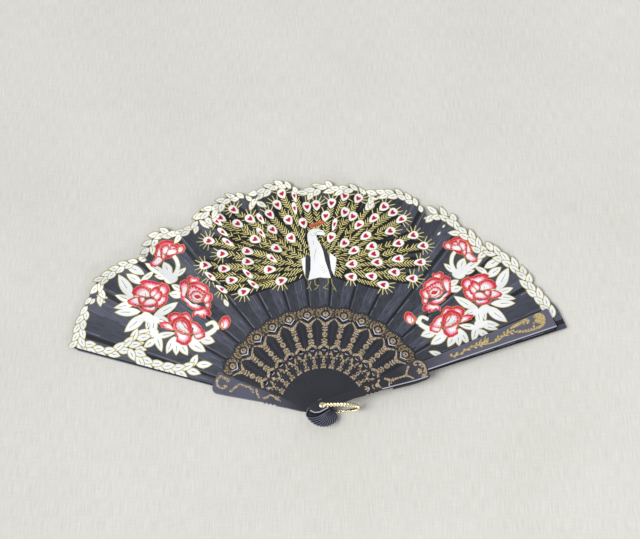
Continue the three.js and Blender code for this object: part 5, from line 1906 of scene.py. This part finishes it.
    @staticmethod
    def _blade_scrolls() -> list[Outline]:
        """Return the vine along the front guard's blade, ending in a large double scroll."""
        vine = curve_through([(116.0, 0.0), (121.0, -1.2), (128.0, -0.4), (133.0, 0.7), (141.0, 0.6),
                              (149.0, -1.3), (156.0, -2.3), (163.0, -1.2), (170.0, 0.9), (177.0, 1.4)], 5)
        shapes = [stroke(vine, 0.9, 1.3)]
        for bud in (
                (117.5, 1.5), (119.5, -2.2), (123.0, 1.0), (127.0, -1.6), (130.0, 1.6), (134.0, -0.8),
                (137.0, 1.9), (140.0, -1.4), (142.0, 2.6), (143.5, 0.4), (144.5, -2.0), (146.5, 3.6),
                (147.5, 1.2), (149.5, 2.4), (151.0, 4.4), (152.6, 2.6), (159.0, -0.2), (161.5, 1.7),
                (164.5, 1.0), (168.0, 2.9), (170.5, -1.0), (172.5, 4.0), (174.5, -1.6)):
            near = min(vine, key=lambda p: math.dist(p, (bud[0] - 2.6, bud[1])))
            tip = offset(near, angle_of(near, bud), 1.2 * math.dist(near, bud))
            shapes.append(pointed_oval(near, tip, 1.9))
        lower = curve_through([(175.5, 0.3), (180.0, -2.0), (186.0, -3.6), (193.0, -4.4), (199.0, -4.6),
                               (203.6, -3.0), (206.2, 0.6), (206.6, 3.8), (204.8, 6.2), (201.4, 6.7),
                               (198.2, 5.4)], 5)
        upper = curve_through([(174.5, 3.4), (178.0, 4.8), (183.0, 5.2), (188.0, 6.2), (191.6, 6.2),
                               (192.8, 4.4), (190.8, 2.6)], 5)
        inner = curve_through([(202.6, -1.6), (199.8, -0.6), (198.0, 1.8), (199.2, 3.8), (201.6, 3.4)], 5)
        shapes += [stroke(lower, 1.1, 1.8), stroke(upper, 1.8, 1.1), stroke(inner, 1.4, 1.0),
                   curved_stroke([(202.0, -3.6), (205.4, 0.4), (205.2, 4.6)], 5, 1.7, 1.4)]
        # Small leaves stand off the outer side of both scrolls
        for scroll, end, lean, length, width in ((lower, -6, 48, 2.8, 1.5), (upper, -5, -48, 3.0, 1.6)):
            for k in range(3, len(scroll) + end, 2):
                away = angle_of(scroll[k - 1], scroll[k]) + math.radians(lean)
                shapes.append(pointed_oval(scroll[k], offset(scroll[k], away, length), width))
        for centre in ((196.0, 0.8), (194.4, -1.6), (190.6, 3.0), (187.6, 3.2), (200.6, 5.2)):
            shapes.append(oval(centre, 2.3, 1.8, 0.5, 9))
        return shapes


@dataclass(frozen=True)
class RivetAndBail:
    """The brass rivet through the stack, and the bail of two strands twisted together."""

    bail_azimuth: float = 2.0
    head_radius: float = 2.0
    shank_radius: float = 1.5
    foot_thick: float = 0.45
    foot_gap: float = 0.02
    foot_round: float = 0.2
    rim_inset: float = 0.1
    rim_height: float = 0.08
    dome_base: float = 22.8
    dome_rise: float = 0.45
    dome_angles: tuple[float, ...] = (12.0, 24.0, 38.0, 52.0, 66.0, 78.0)
    eye_radius: float = 2.35
    eye_bore: float = 1.8
    low_eye: tuple[float, float] = (0.75, 1.55)
    high_eye: tuple[float, float] = (21.7, 22.5)
    strand: float = 1.0
    twist_radius: float = 0.9
    twist_length: float = 5.4
    # The twist is flattest where the lower arm runs in the guard's recess, and rounder further up
    least_flatness: float = 0.22
    most_flatness: float = 0.6
    flatness_start: float = 1.6
    flatness_run: float = 3.0
    # The lower arm is thinner than the upper one, and grows from this height over this run
    lower_share: float = 0.6
    lower_end: float = 2.0
    lower_run: float = 7.0
    eye_soft: float = 0.12
    path: tuple[Point, ...] = (
        (1.6, 23.0), (7.0, 23.1), (12.0, 23.0), (16.0, 22.6), (19.5, 21.5), (24.0, 19.6), (28.0, 16.3),
        (29.9, 11.8), (28.2, 7.2), (24.6, 4.1), (20.5, 2.4), (17.0, 1.55), (12.0, 1.15), (7.0, 1.15),
        (2.4, 1.15))
    path_steps: int = 12
    sides: int = 10
    turned_steps: int = 40
    eye_steps: int = 36
    sharp_angle: float = 50.0
    # Points this close together, where a profile meets the axis, are joined
    pole_size: float = 0.001

    def build(self) -> None:
        """Build the rivet and the bail."""
        rivet = self._brass_piece(
            "rivet_domed", *self._turned(self._rivet_profile(), False, self.turned_steps))
        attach(rivet, "back_guard")
        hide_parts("rivet")
        report(rivet)
        bail = self._bail()
        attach(bail, "bail")
        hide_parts("bail")
        report(bail)

    def _upright(self) -> Matrix:
        """Return the turn from the rivet's own frame, with the bail along x, to the fan."""
        lean = UP.rotation_difference(FAN.axis).to_matrix()
        return lean @ Matrix.Rotation(math.radians(self.bail_azimuth), 3, "Z")

    def _rivet_profile(self) -> Outline:
        """Return radius and height of the rivet from its foot to its dome."""
        dome = [(self.head_radius * math.cos(a), self.dome_base + self.dome_rise * math.sin(a))
                for a in map(math.radians, self.dome_angles)]
        return [(0.0, self.foot_gap), (self.head_radius - self.foot_round, self.foot_gap),
                (self.head_radius, self.foot_round),
                (self.head_radius, self.foot_thick), (self.shank_radius, self.foot_thick),
                (self.shank_radius, self.dome_base), (self.head_radius - self.rim_inset, self.dome_base),
                (self.head_radius, self.dome_base + self.rim_height), *dome,
                (0.0, self.dome_base + self.dome_rise)]

    @staticmethod
    def _turned(profile: Outline, closed: bool, steps: int) -> tuple[list[Vector], list[tuple[int, ...]]]:
        """Return points and faces of a profile turned about the rivet."""
        points, faces = [], []
        for k in range(steps):
            turn = 2 * math.pi * k / steps
            for radius, height in profile:
                points.append(Vector((radius * math.cos(turn), radius * math.sin(turn), height)))
        count = len(profile)
        for k in range(steps):
            here, there = k * count, (k + 1) % steps * count
            for j in range(count if closed else count - 1):
                nxt = (j + 1) % count
                faces.append((here + j, there + j, there + nxt, here + nxt))
        return points, faces

    def _brass_piece(
            self, name: str, points: list[Vector], faces: list[tuple[int, ...]]) -> bpy.types.Object:
        """Make a smooth brass piece from points in the rivet's own frame."""
        upright = self._upright()
        piece = new_piece(name, [upright @ p * MM for p in points], faces, [Finish.BRASS])
        piece.data.validate()
        piece.data.polygons.foreach_set("use_smooth", [True] * len(piece.data.polygons))
        piece.data.set_sharp_from_angle(angle=math.radians(self.sharp_angle))
        weld = piece.modifiers.new("joined_poles", "WELD")
        weld.merge_threshold = self.pole_size * MM
        return piece

    def _bail(self) -> bpy.types.Object:
        """Sweep two twisted strands along the bow and add an eye at each end."""
        line = curve_through(list(self.path), self.path_steps)
        reach = [0.0]
        for start, end in zip(line, line[1:]):
            reach.append(reach[-1] + math.dist(start, end))
        points: list[Vector] = []
        faces: list[tuple[int, ...]] = []
        across = Vector((0, 1, 0))
        for strand in (0, 1):
            first = len(points)
            for k, (x, height) in enumerate(line):
                before, after = line[max(0, k - 1)], line[min(len(line) - 1, k + 1)]
                out = Vector((after[0] - before[0], 0, after[1] - before[1])).normalized().cross(across)
                turn = 2 * math.pi * reach[k] / self.twist_length + strand * math.pi
                flat = self._flatness(height)
                grown = min(1.0, max(0.0, (height - self.lower_end) / self.lower_run))
                fat = between(self.lower_share, 1.0, grown)
                centre = (Vector((x, 0, height)) + across * self.twist_radius * fat * math.cos(turn)
                          + out * self.twist_radius * fat * flat * math.sin(turn))
                for j in range(self.sides):
                    turn = 2 * math.pi * j / self.sides
                    points.append(centre + across * self.strand * fat * math.cos(turn)
                                  + out * self.strand * fat * (0.5 + 0.5 * flat) * math.sin(turn))
            for k in range(len(line) - 1):
                for j in range(self.sides):
                    a, b = first + k * self.sides, first + (k + 1) * self.sides
                    nxt = (j + 1) % self.sides
                    faces.append((a + j, a + nxt, b + nxt, b + j))
            faces.append(tuple(first + j for j in reversed(range(self.sides))))
            last = first + (len(line) - 1) * self.sides
            faces.append(tuple(last + j for j in range(self.sides)))
        for low, high in (self.low_eye, self.high_eye):
            ring, ring_faces = self._turned(self._eye_profile(low, high), True, self.eye_steps)
            faces += [tuple(len(points) + k for k in face) for face in ring_faces]
            points += ring
        return self._brass_piece("bail_twisted", points, faces)

    def _eye_profile(self, low: float, high: float) -> Outline:
        """Return radius and height around the section of one of the bail's eyes."""
        bore, outside, soft = self.eye_bore, self.eye_radius, self.eye_soft
        return [(bore + soft, low), (outside - soft, low), (outside, low + soft), (outside, high - soft),
                (outside - soft, high), (bore + soft, high), (bore, high - soft), (bore, low + soft)]

    def _flatness(self, height: float) -> float:
        """Return how round the twist is at a height."""
        rise = 0.5 * (height - self.flatness_start) / self.flatness_run
        return min(self.most_flatness, max(self.least_flatness, self.least_flatness + rise))


@dataclass(frozen=True)
class Studio:
    """Table, soft lights and the camera."""

    distance: float = 800.0
    elevation: float = 66.4
    target: tuple[float, float, float] = (-0.9, 128.4, 0.0)
    picture_width: float = 640.0
    focal_pixels: float = 908.0
    sensor: float = 36.0
    clip_start: float = 0.01
    table_half: float = 2000.0
    # The table lies this far below the fan, so that no face of the two coincides
    table_gap: float = 0.06
    room_colour: str = "#f4f5f8"
    room_strength: float = 0.48
    # Where the lamps hang, in metres
    window_spot: tuple[float, float, float] = (-0.85, -0.3, 1.15)
    strip_spot: tuple[float, float, float] = (0.65, -1.15, 0.42)
    window_power: float = 2.28
    window_spread: float = 32.0
    # Length and width of the strip in metres
    strip_size: Point = (1.2, 0.132)
    strip_power: float = 6.2

    def build(self) -> None:
        """Set up everything around the fan."""
        self._table()
        self._lights()
        self._camera()

    def _table(self) -> None:
        """Lay the table under the fan."""
        half = self.table_half
        corners = ((-half, -half), (half, -half), (half, half), (-half, half))
        points = [Vector((x, y, -self.table_gap)) * MM for x, y in corners]
        new_piece("table_top", points, [(0, 1, 2, 3)], [Finish.TABLE])

    def _lights(self) -> None:
        """Let in a broad window's light from the left, and add a low strip and a pale room."""
        world = bpy.data.worlds.new("pale_room")
        world.use_nodes = True
        background = world.node_tree.nodes["Background"]
        background.inputs["Color"].default_value = linear(self.room_colour)
        background.inputs["Strength"].default_value = self.room_strength
        bpy.context.scene.world = world
        window = self._lamp("window_left", "SUN", self.window_spot, self.window_power)
        window.angle = math.radians(self.window_spread)
        strip = self._lamp("strip_low_right", "AREA", self.strip_spot, self.strip_power)
        strip.shape = "RECTANGLE"
        strip.size, strip.size_y = self.strip_size

    def _lamp(self, name: str, kind: str, spot: tuple[float, float, float], power: float) -> bpy.types.Light:
        """Hang a lamp at a spot in metres and aim it at the fan."""
        lamp = bpy.data.lights.new(name, kind)
        lamp.energy = power
        holder = bpy.data.objects.new(name, lamp)
        holder.location = spot
        aim = Vector(self.target) * MM - Vector(spot)
        holder.rotation_euler = aim.to_track_quat("-Z", "Y").to_euler()
        bpy.context.scene.collection.objects.link(holder)
        return lamp

    def _camera(self) -> None:
        """Place the camera at the photograph's viewing angle."""
        tilt = math.radians(self.elevation)
        back = Vector((0, -math.cos(tilt), math.sin(tilt)))
        data = bpy.data.cameras.new("camera")
        data.sensor_width = self.sensor
        data.lens = self.focal_pixels / self.picture_width * self.sensor
        data.clip_start = self.clip_start
        camera = bpy.data.objects.new("camera", data)
        camera.location = (Vector(self.target) + back * self.distance) * MM
        camera.rotation_euler = (-back).to_track_quat("-Z", "Y").to_euler()
        bpy.context.scene.collection.objects.link(camera)
        bpy.context.scene.camera = camera
        bpy.context.scene.view_settings.view_transform = "Standard"


def main() -> None:
    """Build the studio and dress the fan, part by part."""
    logging.basicConfig(level=logging.INFO, format="%(message)s")
    Studio().build()
    Guards().build()
    Sticks().build()
    RivetAndBail().build()
    PleatedLeaf(LeafPrint().marks()).build()
    bpy.context.view_layer.update()


if __name__ == "__main__":
    main()
